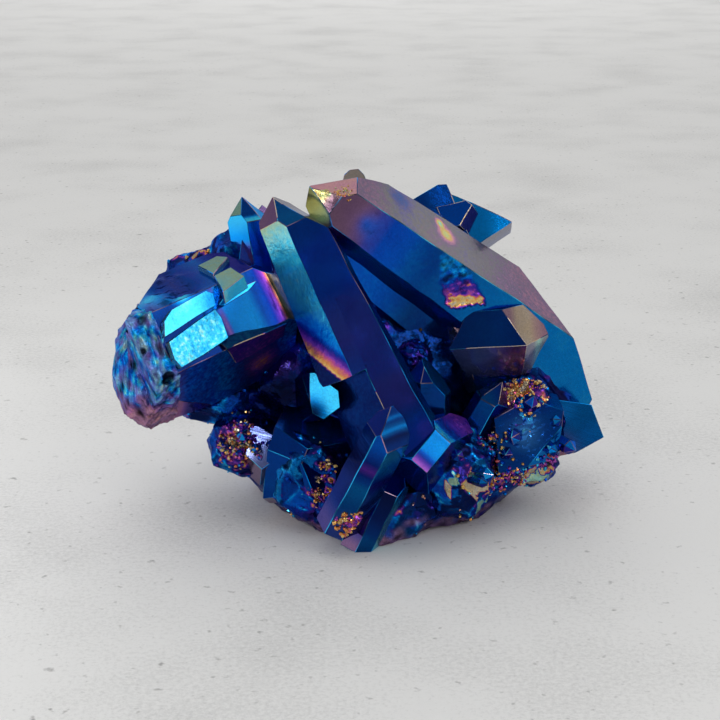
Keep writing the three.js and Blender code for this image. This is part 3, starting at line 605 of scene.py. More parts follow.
def drift(points, size, seed):
    """Three swells at once, as a small vector for each point."""
    return np.stack([swell(points, size, seed + k) for k in range(3)], axis=1)


def axis_of(crystal):
    """The foot of a crystal and the direction of its axis."""
    return placed(crystal["foot"]), direction(crystal["lean"], crystal["bearing"])


def height_on(crystal, points):
    """How high each point is on a crystal's axis."""
    foot, axis = axis_of(crystal)
    return (points - foot) @ axis


def crystal_planes(crystal):
    """Rows of normal and reach: sides, tips, root and cuts, by azimuth about the axis and slope from it."""
    foot, axis = axis_of(crystal)
    first = unit(FRONT - (FRONT @ axis) * axis)
    turns = np.radians(crystal["roll"] + 60.0 * np.arange(SIDES))
    taper = math.radians(crystal.get("taper", 0.0))
    cuts = np.array(crystal.get("cuts", ()), float).reshape(-1, 3)
    azimuths = np.concatenate([turns, turns, [0.0], np.radians(cuts[:, 0])])
    slopes = [math.pi / 2 - taper] * SIDES + [TIP_SLOPE] * SIDES + [math.pi]
    slopes = np.concatenate([slopes, np.radians(cuts[:, 1])])
    sides = np.array(crystal["sides"]) * math.cos(taper)
    tips = np.array(crystal["tips"]) * math.cos(TIP_SLOPE)
    reaches = np.concatenate([sides, tips, [crystal["buried"]], cuts[:, 2]])
    across = np.outer(np.cos(azimuths), first) + np.outer(np.sin(azimuths), np.cross(axis, first))
    normals = across * np.sin(slopes)[:, None] + np.outer(np.cos(slopes), axis)
    return np.column_stack([normals, reaches + normals @ foot])


def block_planes(middle, faces):
    """Rows of normal and reach from a block's faces."""
    leans, bearings, reaches = np.array([face[:3] for face in faces], float).T
    normals = direction(leans, bearings)
    return np.column_stack([normals, reaches + normals @ placed(middle)])


def lump_planes(lump):
    """Flats spread evenly around an ellipsoid by the golden angle, each set in by its own bite."""
    middle, radii, chips, bite, seed = lump[:5]
    index = np.arange(chips)
    height = 1 - (2 * index + 1) / chips
    ring = np.sqrt(1 - height**2)
    turn = GOLDEN_ANGLE * index + seed
    spots = np.column_stack([ring * np.cos(turn), ring * np.sin(turn), height]) / np.array(radii, float)
    sizes = np.linalg.norm(spots, axis=1)
    normals = spots / sizes[:, None]
    reaches = (1 - bite * scatter(index, seed)) / sizes
    return np.column_stack([normals, reaches + normals @ placed(middle)])


def plate_form(name, side, rise, top_coat, frost, wall_coat, corners):
    """What add_solid needs of a plate: a top, a root in the crystal, and sides that flare out to the root."""
    foot, axis = axis_of(NAMED[name])
    *normal, reach = crystal_planes(NAMED[name])[side]
    normal = np.array(normal)
    sideways = unit(np.cross(normal, axis))
    across = np.stack([np.cross(sideways, normal), sideways])
    origin = foot + (reach - normal @ foot) * normal
    outline = np.array(corners, float)
    middle = outline.mean(axis=0)
    top = origin + outline @ across + rise * normal
    root = origin + (middle + (outline - middle) * PLATE_FLARE) @ across - PLATE_ROOT * normal
    walls = unit(np.cross(np.roll(top, -1, axis=0) - top, root - top))
    walls *= np.sign(((top - top.mean(axis=0)) * walls).sum(axis=1))[:, None]
    rows = np.column_stack([walls, (walls * top).sum(axis=1)])
    planes = np.vstack([[*normal, reach + rise], [*-normal, PLATE_ROOT - reach], rows])
    return planes, flat_coat([top_coat] + [wall_coat] * (len(planes) - 1), frost), foot, axis


def field_crystals(name, count, length, seed, bearings, heights):
    """Small points around a lump: each stands on its ellipsoid, leans outwards and a little to one side."""
    middle, radii = LUMPS[name][:2]
    index = np.arange(count)
    (low, high), (bottom, top) = bearings, heights
    bearing = np.radians(low + (high - low) * (index + scatter(index, seed)) / count)
    height = bottom + (top - bottom) * scatter(index + 40, seed)
    ring = np.sqrt(1 - height**2)
    spots = np.column_stack([ring * np.cos(bearing), ring * np.sin(bearing), height])
    feet = spots * np.array(radii) + np.array(middle)
    outward = unit(spots / np.array(radii))
    leans = np.degrees(np.arccos(outward[:, 2])) + POINTLET_FAN * (scatter(index + 80, seed) - 0.5)
    turns = np.degrees(np.arctan2(outward[:, 1], outward[:, 0]))
    turns += POINTLET_FAN * (scatter(index + 120, seed) - 0.5)
    lengths = length * (0.6 + 0.6 * scatter(index + 160, seed))
    rolls = 60 * scatter(index + 200, seed)
    films = 0.42 + 0.12 * scatter(index + 240, seed)
    return [
        dict(
            name=name + "_pointlet", foot=feet[i], lean=leans[i], bearing=turns[i], roll=rolls[i],
            sides=(lengths[i] * POINTLET_WIDTH,) * SIDES, tips=(lengths[i],) * SIDES,
            buried=lengths[i] * POINTLET_BURIED,
            coat={k: ((0, films[i] + 0.03 * (k % SIDES) - 0.08, 0.25),) for k in range(2 * SIDES)},
        )
        for i in index
    ]


def hull_planes(points):
    """The faces around some corners as rows of normal and reach: every three with the rest behind them."""
    sets = points[np.array(list(combinations(range(len(points)), 3)))]
    normals = np.cross(sets[:, 1] - sets[:, 0], sets[:, 2] - sets[:, 0])
    keep = np.linalg.norm(normals, axis=1) > PARALLEL
    sets, normals = sets[keep], unit(normals[keep])
    rows = np.column_stack([normals, (normals * sets[:, 0]).sum(axis=1)])
    beyond = points @ normals.T - rows[:, 3]
    rows = np.vstack([rows[(beyond < ON_FACE).all(axis=0)], -rows[(beyond > -ON_FACE).all(axis=0)]])
    return np.unique(np.round(rows, 5), axis=0)


def meeting_points(planes):
    """The corners of the solid behind all the planes: where three of them meet with no other one in front."""
    sets = planes[np.array(list(combinations(range(len(planes)), 3)))]
    sets = sets[np.abs(np.linalg.det(sets[:, :, :3])) > PARALLEL]
    points = np.linalg.solve(sets[:, :, :3], sets[:, :, 3:])[..., 0]
    behind = (points @ planes[:, :3].T <= planes[:, 3] + ON_FACE / 4).all(axis=1)
    return np.unique(np.round(points[behind], DIGITS), axis=0)


def face_basis(normal, axis):
    """Two directions in a face: up the axis where they can be, and across it."""
    across = np.cross(normal, axis)
    if np.linalg.norm(across) < 0.05:
        across = np.cross(normal, FRONT)
    across = unit(across)
    return np.cross(across, normal), across


def outline_of(points, plane):
    """The corners on a plane, in order round the face from outside, or None if there are fewer than three."""
    on = points[np.abs(points @ plane[:3] - plane[3]) < ON_FACE]
    if len(on) < 3:
        return None
    along, across = face_basis(plane[:3], ODD_WAY)
    spread = on - on.mean(axis=0)
    return on[np.argsort(np.arctan2(spread @ across, spread @ along))]


def with_edges(planes, width, seed):
    """The planes and a narrow bevel face for each edge, midway between its faces, width millimetres wide."""
    points = meeting_points(planes)
    on = np.abs(points @ planes[:, :3].T - planes[:, 3]) < ON_FACE
    pairs = [(i, j) for i, j in combinations(range(len(planes)), 2) if (on[:, i] & on[:, j]).sum() >= 2]
    if not pairs:
        return planes
    first, second = planes[[i for i, _ in pairs]], planes[[j for _, j in pairs]]
    spots = np.array([points[on[:, i] & on[:, j]].mean(axis=0) for i, j in pairs])
    normals = unit(first[:, :3] + second[:, :3])
    half = np.arccos(np.clip((first[:, :3] * second[:, :3]).sum(axis=1), -1, 1)) / 2
    wide = width * (0.6 + 0.8 * scatter(np.arange(len(pairs)), seed))
    reaches = (normals * spots).sum(axis=1) - wide * np.tan(half) / 2
    return np.vstack([planes, np.column_stack([normals, reaches])])


def edge_points(start, end, step):
    """Evenly spaced points from start up to end, worked out the same way from either end."""
    pieces = max(1, math.ceil(np.linalg.norm(end - start) / step))
    share = np.arange(pieces + 1)[:, None] / pieces
    if tuple(start) < tuple(end):
        return (start + (end - start) * share)[:-1]
    return (end + (start - end) * share)[::-1][:-1]


def face_grid(ring, plane, step, axis):
    """One flat face as triangles: its outline in steps, a grid of points inside it, and the net of both.

    Returns points, triangles and each point's distance in from the outline."""
    base = np.stack(face_basis(plane[:3], axis), axis=1)
    rim = np.vstack([edge_points(ring[k], ring[(k + 1) % len(ring)], step) for k in range(len(ring))])
    origin = ring.mean(axis=0)
    flat_ring = (ring - origin) @ base
    edges = np.roll(flat_ring, -1, axis=0) - flat_ring
    inward = unit(np.column_stack([-edges[:, 1], edges[:, 0]]))
    low, high = flat_ring.min(axis=0), flat_ring.max(axis=0)
    rows = np.arange(low[1] + step / 2, high[1], step * 0.87)
    grid = np.stack(np.meshgrid(np.arange(low[0] + step / 2, high[0], step), rows), axis=-1)
    grid[1::2, :, 0] += step / 2
    grid = grid.reshape(-1, 2)
    depth = np.zeros(0)
    if len(grid):
        depth = ((grid[:, None] - flat_ring[None]) * inward[None]).sum(axis=2).min(axis=1)
    grid, depth = grid[depth > step * 0.45], depth[depth > step * 0.45]
    flat = np.vstack([(rim - origin) @ base, grid])
    count = len(rim)
    loop = [(k, (k + 1) % count) for k in range(count)]
    _, _, triangles, ids, _, _ = delaunay_2d_cdt([Vector(p) for p in flat], loop, [], 1, 1e-6)
    source = np.array([k[0] if k else -1 for k in ids])
    triangles = source[np.array([t for t in triangles if len(t) == 3], int).reshape(-1, 3)]
    triangles = triangles[(triangles >= 0).all(axis=1)]
    points = np.vstack([rim, origin + grid @ base.T])
    a, b, c = (points[triangles[:, k]] for k in range(3))
    wrong = (np.cross(b - a, c - a) @ plane[:3]) < 0
    triangles[wrong] = triangles[wrong][:, ::-1]
    return points, triangles, np.concatenate([np.zeros(count), depth])


def faceted(planes, step, axis):
    """The faces of the solid behind the planes, each as its own grid: points, triangles, face and depth."""
    corners = meeting_points(planes)
    points, triangles, owner, depth = [], [], [], []
    count = 0
    for index, plane in enumerate(planes):
        ring = outline_of(corners, plane)
        if ring is None:
            continue
        more, cells, inset = face_grid(ring, plane, step, axis)
        points.append(more)
        triangles.append(cells + count)
        owner.append(np.full(len(more), index))
        depth.append(inset)
        count += len(more)
    return np.vstack(points), np.vstack(triangles), np.concatenate(owner), np.concatenate(depth)


def ball_directions(step, radius):
    """Unit directions on a grid of bearing and height with one pole at each end, and its triangles."""
    rows = max(12, int(math.pi * radius / step))
    columns = 2 * rows
    polar = np.pi * (np.arange(rows - 1) + 1) / rows
    turn = 2 * np.pi * np.arange(columns) / columns
    parts = [np.outer(np.sin(polar), np.cos(turn)), np.outer(np.sin(polar), np.sin(turn))]
    rings = np.stack([*parts, np.outer(np.cos(polar), np.ones(columns))], axis=-1).reshape(-1, 3)
    ways = np.vstack([rings, [[0, 0, 1], [0, 0, -1]]])
    i, j = np.meshgrid(np.arange(rows - 2), np.arange(columns), indexing="ij")
    a = (i * columns + j).ravel()
    b = (i * columns + (j + 1) % columns).ravel()
    c, d = a + columns, b + columns
    top, bottom = np.full(columns, len(rings)), np.full(columns, len(rings) + 1)
    j = np.arange(columns)
    last = (rows - 2) * columns
    cells = ((a, c, d), (a, d, b), (top, j, (j + 1) % columns), (bottom, last + (j + 1) % columns, last + j))
    return ways, np.vstack([np.column_stack(cell) for cell in cells])


def reach_along(ways, planes, centre):
    """Distance from a centre to the nearest plane in each direction, and which plane it is."""
    nearest = np.full(len(ways), np.inf)
    owner = np.zeros(len(ways), int)
    gaps = planes[:, 3] - planes[:, :3] @ centre
    for index, (normal, gap) in enumerate(zip(planes[:, :3], gaps)):
        slope = ways @ normal
        distance = np.where(slope > 1e-4, gap / np.maximum(slope, 1e-4), np.inf)
        owner = np.where(distance < nearest, index, owner)
        nearest = np.minimum(distance, nearest)
    return nearest, owner


def fresh(collection, name, *kind):
    """A new item of a collection, in place of an old one of that name."""
    old = collection.get(name)
    if old is not None:
        collection.remove(old)
    return collection.new(name, *kind)


def add_piece(name, points, triangles, material, coat, growth=None, crease=20):
    """A mesh object at the origin, in metres, with its coat and growth at each corner of each triangle."""
    mesh = fresh(bpy.data.meshes, name)
    mesh.vertices.add(len(points))
    mesh.vertices.foreach_set("co", (points * MM).astype(np.float32).ravel())
    mesh.loops.add(3 * len(triangles))
    mesh.loops.foreach_set("vertex_index", triangles.astype(np.int32).ravel())
    mesh.polygons.add(len(triangles))
    mesh.polygons.foreach_set("loop_start", np.arange(0, 3 * len(triangles), 3, dtype=np.int32))
    mesh.update(calc_edges=True)
    layer = mesh.attributes.new("veil", "FLOAT", "CORNER")
    layer.data.foreach_set("value", coat[:, 3].astype(np.float32))
    for title, rows in (("coat", coat[:, :3]), ("growth", growth)):
        if rows is not None:
            layer = mesh.attributes.new(title, "FLOAT_VECTOR", "CORNER")
            layer.data.foreach_set("vector", rows.astype(np.float32).ravel())
    mesh.shade_smooth()
    mesh.set_sharp_from_angle(angle=math.radians(crease))
    mesh.materials.append(material)
    if mesh.validate():
        raise RuntimeError(f"{name} has faces that Blender had to mend")
    piece = fresh(bpy.data.objects, name, mesh)
    bpy.context.scene.collection.objects.link(piece)
    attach(piece, "root")
    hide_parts(NODE)
    return piece


def add_joined(name, parts, material, crease):
    """One piece from several meshes, each as points, triangles, and coat and growth at their corners."""
    points, triangles, coats, growth = zip(*parts)
    counts = np.cumsum([0, *map(len, points)])
    cells = np.vstack([rows + count for rows, count in zip(triangles, counts)])
    growth = None if growth[0] is None else np.vstack(growth)
    add_piece(name, np.vstack(points), cells, material, np.vstack(coats), growth, crease)


def welded(points, triangles):
    """Points that share a place made one, the triangles that are left, and the index of each one kept."""
    keys, index = np.unique(np.round(points, DIGITS), axis=0, return_inverse=True)
    index = index.ravel()
    joined = index[triangles]
    good = (joined[:, 0] != joined[:, 1]) & (joined[:, 1] != joined[:, 2]) & (joined[:, 2] != joined[:, 0])
    _, same, times = np.unique(np.sort(joined, axis=1), axis=0, return_inverse=True, return_counts=True)
    good &= times[same.ravel()] == 1
    first = np.zeros(len(keys), int)
    first[index] = np.arange(len(points))
    return first, joined[good], good


def with_tints_and_painted_shade(coat, points):
    """The coat with each tint blended in, strongest at its middle; the strongly dimmed ones are painted
    shade.
    """
    for middle, reach, film, dim, veil, strength in TINTS_AND_PAINTED_SHADE:
        share = (strength * np.exp(-1.6 * (distances(points, middle) / reach) ** 2))[:, None]
        target = coat.copy()
        target[:, 1], target[:, 3] = dim, veil
        if film is not None:
            target[:, 0] = film
        coat = coat + (target - coat) * share
    return coat


def crystal_coat(crystal, points, owner, faces):
    """Film, dimming, frost and veil at each point, read from the stops of its face by height on the axis."""
    foot, axis = axis_of(crystal)
    planes = crystal_planes(crystal)
    height = (points - foot) @ axis
    coat = np.tile(BARE_COAT, (len(points), 1))
    for face, stops in crystal["coat"].items():
        mine = owner == face
        rise = height[mine]
        if face in crystal.get("slant", {}):
            rate, top, fade = crystal["slant"][face]
            across = (points[mine] - foot) @ unit(np.cross(planes[face, :3], axis))
            rise = rise - rate * across * part((top - rise) / fade)
        heights, films, dims, veils = zip(*[(*stop, 0.0)[:4] for stop in stops])
        for column, values in ((0, films), (1, dims), (3, veils)):
            coat[mine, column] = np.interp(rise, heights, values)
    for face, frost in crystal.get("frost", {}).items():
        coat[owner == face, 2] = frost
    coat = with_tints_and_painted_shade(coat, points)
    if crystal["name"] == "main_point":
        coat = rippled(coat, points, owner)
    return with_edge_highlights(coat, points, owner, faces)


def ripple_share(points, owner):
    """How much of the ripple patch there is at each point of the main point's front face, from 0 to 1."""
    level, middle, half = zip(*RIPPLE_SPAN)
    height = points[:, 2]
    across = np.abs(points[:, 0] + MIDDLE[0] - np.interp(height, level, middle))
    inside = np.interp(height, level, half) - across + 0.18 * swell(points, 1.6, 84)
    base = (height - level[0] + 0.1 * swell(points, 1.2, 99)) / 0.3
    return part(np.minimum(np.minimum(inside / 0.5, (level[-1] - height) / 2.5), base)) * (owner == 0)


def rippled(coat, points, owner):
    """The coat with the patch of ripples on the front face: its film runs from blue above to gold below."""
    share = ripple_share(points, owner)[:, None]
    level, film = zip(*RIPPLE_FILMS)
    streaks = points * np.array([0.5, 0.5, 1.3])
    rows = np.interp(points[:, 2] + 0.7 * swell(streaks, 1.0, 89) + 0.5 * swell(points, 3.0, 92), level, film)
    dark = np.clip(0.25 + 0.55 * swell(streaks, 1.1, 90), 0, 0.85)
    dark *= np.clip((points[:, 2] - 37.6) / 1.5, 0.2, 1)
    patch = np.column_stack([rows, dark, np.full(len(points), 0.5), np.zeros(len(points))])
    return coat * (1 - share) + patch * share


def with_edge_highlights(coat, points, owner, faces):
    """The coat with a painted highlight on the narrow edge faces: paler than their neighbours, more in some
    places than in others.
    """
    edge = owner >= faces
    coat[edge, 0] = EDGE_HIGHLIGHT_FILMS[owner[edge] % len(EDGE_HIGHLIGHT_FILMS)]
    coat[edge, 1] = np.clip(0.45 + 0.5 * swell(points[edge], 5.0, 35), 0.0, 0.85)
    coat[edge, 2:] = (0.1, 0.0)
    # Painted highlight: near these places the edges are pale silver and undimmed.
    for middle, reach in EDGE_HIGHLIGHT_SPOTS:
        coat[edge & (distances(points, middle) < reach)] = (0.02, 0.0, 0.5, 0.15)
    return coat


SURFACES = []


def add_solid(name, forms, sizes, relief=None):
    """One mesh from several flat-faced forms, each given as planes, a coat function, a foot and an axis.

    The faces are gridded, bevelled at their edges, and all points then drift by a smooth noise, so that no
    face is dead flat. The growth lines follow height on the axis, place across it and the face's own
    number."""
    parts = []
    for number, (planes, coat_function, foot, axis) in enumerate(forms):
        faces = len(planes)
        full = with_edges(np.vstack([planes, FLOOR_PLANE]), sizes.edge_width / MM, number + faces)
        points, triangles, owner, depth = faceted(full, sizes.face_step / MM, axis)
        coat = coat_function(points, owner, faces + 1)
        side = unit(np.cross(axis, FRONT))
        growth = np.column_stack([(points - foot) @ axis, (points - foot) @ side, owner * 7.0])
        moved = points + sizes.waviness / MM * drift(points, 9.0, 31)
        if relief is not None:
            moved += full[owner, :3] * relief(points, owner, depth)[:, None]
        moved[:, 2] = np.maximum(moved[:, 2], 0.0)
        first, joined, good = welded(points, triangles)
        corners = triangles[good].ravel()
        parts.append((moved[first], joined, coat[corners], growth[corners]))
        SURFACES.append((moved[first], full[owner[first], :3], False))
    add_joined(name, parts, finish("coated_faces"), sizes.crease)


def crystal_form(crystal):
    """What add_solid needs of a crystal."""
    return crystal_planes(crystal), partial(crystal_coat, crystal), *axis_of(crystal)


def flat_coat(values, frost=0.0):
    """A coat function for a form whose faces each have one film and one dimming."""
    table = np.array([(*value, 0.0)[:3] for value in values])

    def coat_function(points, owner, faces):
        coat = np.zeros((len(points), 4))
        coat[:, [0, 1, 3]] = table[np.minimum(owner, len(table) - 1)]
        coat[:, 2] = frost
        return with_edge_highlights(with_tints_and_painted_shade(coat, points), points, owner, faces)

    return coat_function


def block_form(middle, faces):
    """What add_solid needs of a block."""
    coats = flat_coat([face[3:] for face in faces])
    return block_planes(middle, faces), coats, placed(middle), direction(40, 60)


def all_forms():
    """Planes of every form in the cluster, for asking what is hidden inside another."""
    blocks = [block_planes(*block) for block in BLOCKS.values()]
    return [*map(crystal_planes, CRYSTALS), *blocks, *map(lump_planes, LUMPS.values())]


def buried_in(points, forms, margin):
    """True for the points that are more than margin inside one of the forms."""
    inside = np.zeros(len(points), bool)
    for planes in forms:
        inside |= (points @ planes[:, :3].T < planes[:, 3] - margin).all(axis=1)
    return inside


def scoops(points, size, depth, seed):
    """Broken quartz: how deep each point lies, which scoop it is in, and how near the next one is.

    Each cell of a jittered lattice holds a shallow, tilted bowl, its curve and tilt times the way from its
    middle in cells. The lowest bowl wins, which leaves sharp ridges between the scoops."""
    cell = np.floor(points / size)
    lowest = np.full(len(points), np.inf)
    second = np.full(len(points), np.inf)
    owner = np.zeros(len(points))
    for shift in product((-1, 0, 1), repeat=3):
        corner = cell + shift
        key = corner @ np.array([1.0, 57.0, 113.0])
        jitter = np.stack([scatter(key, seed + k) for k in range(3)], axis=1)
        away = points / size - corner - 0.1 - 0.8 * jitter
        tilt = np.stack([scatter(key, seed + 3 + k) for k in range(3)], axis=1) - 0.5
        curve = 0.6 + 1.4 * scatter(key, seed + 6)
        bowl = curve * (away**2).sum(axis=1) - scatter(key, seed + 7)
        value = depth * (bowl + 1.3 * (away * tilt).sum(axis=1))
        closer = value < lowest
        second = np.where(closer, lowest, np.minimum(second, value))
        owner = np.where(closer, key, owner)
        lowest = np.where(closer, value, lowest)
    return np.minimum(lowest, 0.0), owner, second - lowest


def nearness(points, places):
    """How near each point is to the middle of one of the places: 1 there, 0 at its reach, less beyond."""
    return np.max([1 - distances(points, middle) / reach for middle, reach in places], axis=0)


def crusted(points):
    """How much of a crust there is at each point, from 0 to 1, with a ragged rim."""
    return part(2.4 * nearness(points, CRUSTS) + 0.55 * swell(points, 2.0, 91))


def shelled(points):
    """How much of the fine ripples of a broken shell the rock has at each point, from 0 to 1."""
    return part(2 * nearness(points, SHELLS))


def rock_coat(points, owner, scoop, ridge, seed):
    """Film, dimming, frost and veil of broken quartz: one film for each flat and each scoop, paler along the
    ridges as a painted highlight, gold, pink and violet by turns in the crusts, and pinkish brown along the
    foot."""
    film = 0.465 + 0.03 * swell(points, 9.0, 71) + 0.06 * (scatter(owner, seed + 3) - 0.5)
    film = np.clip(film + 0.15 * (scatter(scoop, seed + 4) - 0.5), 0.36, 0.62)
    dim = 0.12 + 0.75 * scatter(scoop, seed + 5) ** 0.7
    light = (nearness(points, PALE_ROCK) > 0) & (scatter(scoop, seed + 9) > 0.5)
    film = np.where(light, np.where(scatter(scoop, seed + 10) > 0.5, 0.02, 0.76), film)
    shell = shelled(points)
    film += shell * (0.06 + 0.12 * swell(points @ SHELL_TURN, 0.9, 92))
    dim = np.where(light, 0.15 + 0.4 * scatter(scoop, seed + 11), dim)
    dim *= 1 - 0.7 * shell
    # Painted highlight: the ridges between the scoops are paler and less dimmed.
    pale = np.exp(-ridge / 0.05) * part(0.45 + swell(points, 3.0, 75))
    film = film * (1 - pale) + np.where(swell(points, 5.0, 78) > 0.3, 0.1, 0.66) * pale
    dim *= 1 - pale
    crust = crusted(points)
    rich = np.clip(0.15 + 0.13 * swell(points, 1.0, 94) + 0.06 * swell(points, 4.0, 95), 0.0, 0.45)
    film = film * (1 - crust) + rich * crust
    dim = dim * (1 - crust) + np.clip(0.25 + 0.5 * swell(points, 0.8, 96), 0, 0.85) * crust
    rim = part((2.8 - points[:, 2] + 1.2 * swell(points, 3.0, 73)) / 1.6) * (1 - crust)
    dim = dim * (1 - rim) + np.clip(0.45 + 0.25 * swell(points, 1.6, 74), 0.1, 0.8) * rim
    frost = np.clip(0.1 + 0.25 * swell(points, 2.5, 76), 0, 0.6) * (1 - crust) + 0.3 * crust
    return with_tints_and_painted_shade(np.column_stack([film, dim, frost, 0.8 * rim]), points)


def add_rock(name, lumps, sizes):
    """One mesh from several lumps of broken quartz: planes, a middle, a radius, a seed and a mesh spacing.

    A lump's surface is, in each direction from its middle, the nearest of its large flats, sunk by large
    and small scoops and roughened by a smooth noise."""
    size, depth, rough = sizes.scoop_size / MM, sizes.scoop_depth / MM, sizes.roughness / MM
    parts = []
    for planes, centre, radius, seed, step in lumps:
        planes = np.vstack([planes, FLOOR_PLANE])
        ways, triangles = ball_directions(step, radius)
        reach, owner = reach_along(ways, planes, centre)
        points = centre + ways * reach[:, None]
        large, scoop, ridge = scoops(points, size, depth, 90)
        small, chip, _ = scoops(points, size * 0.34, depth * 0.3, 97)
        bumps = rough * (0.6 * swell(points, 3.5, seed) + 0.35 * swell(points, 1.3, seed + 1)) - rough
        molten = scoops(points, 1.0, 0.34, 93)[0] * crusted(points)
        shells = scoops(points @ SHELL_TURN, 1.1, 0.55, 98)[0] * shelled(points)
        points = points + ways * (large + small + bumps + molten + shells)[:, None]
        points[:, 2] = np.maximum(points[:, 2], 0.0)
        coat = rock_coat(points, owner, scoop + 0.3 * (scatter(chip, 1) > 0.7), ridge, seed)
        middle = coat[triangles].mean(axis=1)
        coat = np.repeat(middle, 3, axis=0) * 0.5 + coat[triangles.ravel()] * 0.5
        parts.append((points, triangles, coat, None))
        SURFACES.append((points, planes[owner, :3], True))
    add_joined(name, parts, finish("coated_rock"), 24)


def lump_form(name):
    """What add_rock needs of a lump from the list."""
    middle, radii, _, _, seed, step = LUMPS[name]
    return lump_planes(LUMPS[name]), placed(middle), float(np.mean(radii)), seed, step


def rim_form():
    """The foot of the matrix as a lump: the hull of its two rims."""
    corners = placed([(x, y, -RIM_DEPTH) for x, y in FLOOR_RIM] + list(UPPER_RIM))
    return hull_planes(corners), corners.mean(axis=0) + RIM_LIFT, RIM_RADIUS, RIM_SEED, RIM_SPACING


def main_point_relief(points, owner, depth):
    """Hammered dimples near the tip, and a patch of small sharp scoops low on the front face."""
    height = height_on(MAIN_POINT, points)
    dimples = (0.018 * part((height - 20) / 6) + 0.004) * swell(points, 2.0, 81)
    ripples = scoops(points * np.array([0.7, 0.7, 1.2]), 1.1, 0.32, 83)[0]
    return (dimples + ripples * ripple_share(points, owner)) * part(depth / 0.5)


def west_prism_relief(points, owner, depth):
    """Lumps over the west part of the upper side, where later growth covers the prism's face."""
    height = height_on(NAMED["west_prism"], points)
    cover = part((6.4 - height) / 1.2) * (owner == 4) * part(depth / 0.8)
    growth = scoops(points, 3.2, 1.1, 85)[0] + scoops(points, 1.2, 0.35, 86)[0] + 0.5
    return growth * cover + 0.012 * swell(points, 2.0, 87) * part(depth / 0.5)


def block_relief(points, owner, depth):
    """Shell-shaped ripples on the block at the east."""
    turned = points @ SHELL_TURN
    ripples = scoops(turned, 0.8, 0.22, 88)[0] + 0.035 * swell(turned, 1.4, 89) - 0.035
    away = distances(points, SHELL_PATCH) / SHELL_REACH
    return ripples * part(1.5 - 1.5 * away) * part(depth / 0.5)


def bark_surface():
    """The broken west end of the prism: in each direction the farther of the prism's own end and the west
    lump, wrinkled from top to bottom and pitted, with its inner end hidden in the prism. The wrinkles'
    grooves and the pits are painted dark, as painted shade."""
    prism = {**NAMED["west_prism"], "buried": 8}
    foot, axis = axis_of(prism)
    cap = np.array([[*axis, axis @ foot - BARK_START]])
    centre = placed(BARK_MIDDLE)
    ways, triangles = ball_directions(BARK_SPACING, BARK_RADIUS)
    end_reach, _ = reach_along(ways, np.vstack([crystal_planes(prism), cap]), centre)
    lump_reach, _ = reach_along(ways, lump_planes(WEST_END), centre)
    points = centre + ways * np.maximum(end_reach, lump_reach)[:, None]
    stretched = points * np.array([1.0, 1.0, 0.3])
    wrinkle = swell(stretched, 1.3, 51) * 0.1 + swell(points, 3.6, 52) * 0.12
    wrinkle += swell(stretched, 0.7, 53) * 0.05
    lift = 0.12 + wrinkle
    # Painted shade: the wrinkles' grooves are dimmed.
    dark = part(-wrinkle * 3.5) * 0.6
    # Each pit is sunk, and painted dark towards its middle as painted shade.
    for middle, radius in BARK_PITS:
        away = distances(points, middle) / radius
        bowl = np.sqrt(part(1 - away**2))
        lift = lift * (1 - part(1.4 - away)) - radius * 0.9 * bowl
        dark = np.maximum(dark, np.clip(bowl * 1.6, 0, 0.93))
    points = points + ways * lift[:, None]
    film = 0.58 + 0.04 * swell(points, 5.0, 54) + 0.05 * swell(stretched, 1.0, 57)
    low = part((24.5 - points[:, 2] + 0.8 * swell(points, 3.0, 55)) / 3.0)
    film = film * (1 - low) + 0.17 * low
    dim = np.clip(0.2 + 0.15 * swell(points, 3.0, 59) + dark, 0, 0.95)
    veil = 0.4 * part(0.6 + swell(points, 3.0, 58)) * (1 - low) + 0.85 * low
    SURFACES.append((points, ways, False))
    return points, triangles, np.column_stack([film, dim, np.full(len(points), 0.5), veil])


def ball_surface():
    """A wrinkled ball: the pocket's lump with folds that run round it, dimmed in the sunken folds as painted
    shade.
    """
    centre = placed(POCKET_BALL[0])
    ways, triangles = ball_directions(BALL_SPACING, BALL_RADIUS)
    points = centre + ways * reach_along(ways, lump_planes(POCKET_BALL), centre)[0][:, None]
    fold = 1 - np.abs(swell(points, 1.5, 61))
    points = points + ways * (0.18 * fold - 0.1)[:, None]
    film = 0.46 - 0.08 * part(fold) + 0.05 * swell(points, 2.0, 62)
    # Painted shade: the lower the fold, the more it is dimmed.
    coat = np.column_stack([film, 0.55 - 0.45 * part(fold), np.full(len(points), 0.2), np.zeros(len(points))])
    return points, triangles, coat


def tiny_points(feet, axes, lengths, widths, rolls):
    """Many six-sided points at once: a ring at the foot, a ring at the shoulder and a tip, on each axis."""
    first = unit(np.cross(axes, np.where(np.abs(axes[:, 2:3]) > 0.9, [[1.0, 0, 0]], [[0, 0, 1.0]])))
    second = np.cross(axes, first)
    turn = rolls[:, None] + np.arange(SIDES) * (np.pi / 3)
    ring = first[:, None] * np.cos(turn)[..., None] + second[:, None] * np.sin(turn)[..., None]
    ring = ring * widths[:, None, None]
    base = feet[:, None] + ring - axes[:, None] * (lengths * 0.45)[:, None, None]
    shoulder = feet[:, None] + ring + axes[:, None] * (lengths - widths)[:, None, None]
    tip = feet + axes * lengths[:, None]
    points = np.concatenate([base, shoulder, tip[:, None]], axis=1)
    k = np.arange(SIDES)
    n = (k + 1) % SIDES
    lid = k[:-2]
    cells = ((k, n, n + SIDES), (k, n + SIDES, k + SIDES), (k + SIDES, n + SIDES, 0 * k + 2 * SIDES),
             (0 * lid, lid + 2, lid + 1))
    cells = np.vstack([np.column_stack(cell) for cell in cells])
    triangles = (cells[None] + (2 * SIDES + 1) * np.arange(len(feet))[:, None, None]).reshape(-1, 3)
    return points.reshape(-1, 3), triangles, len(cells)


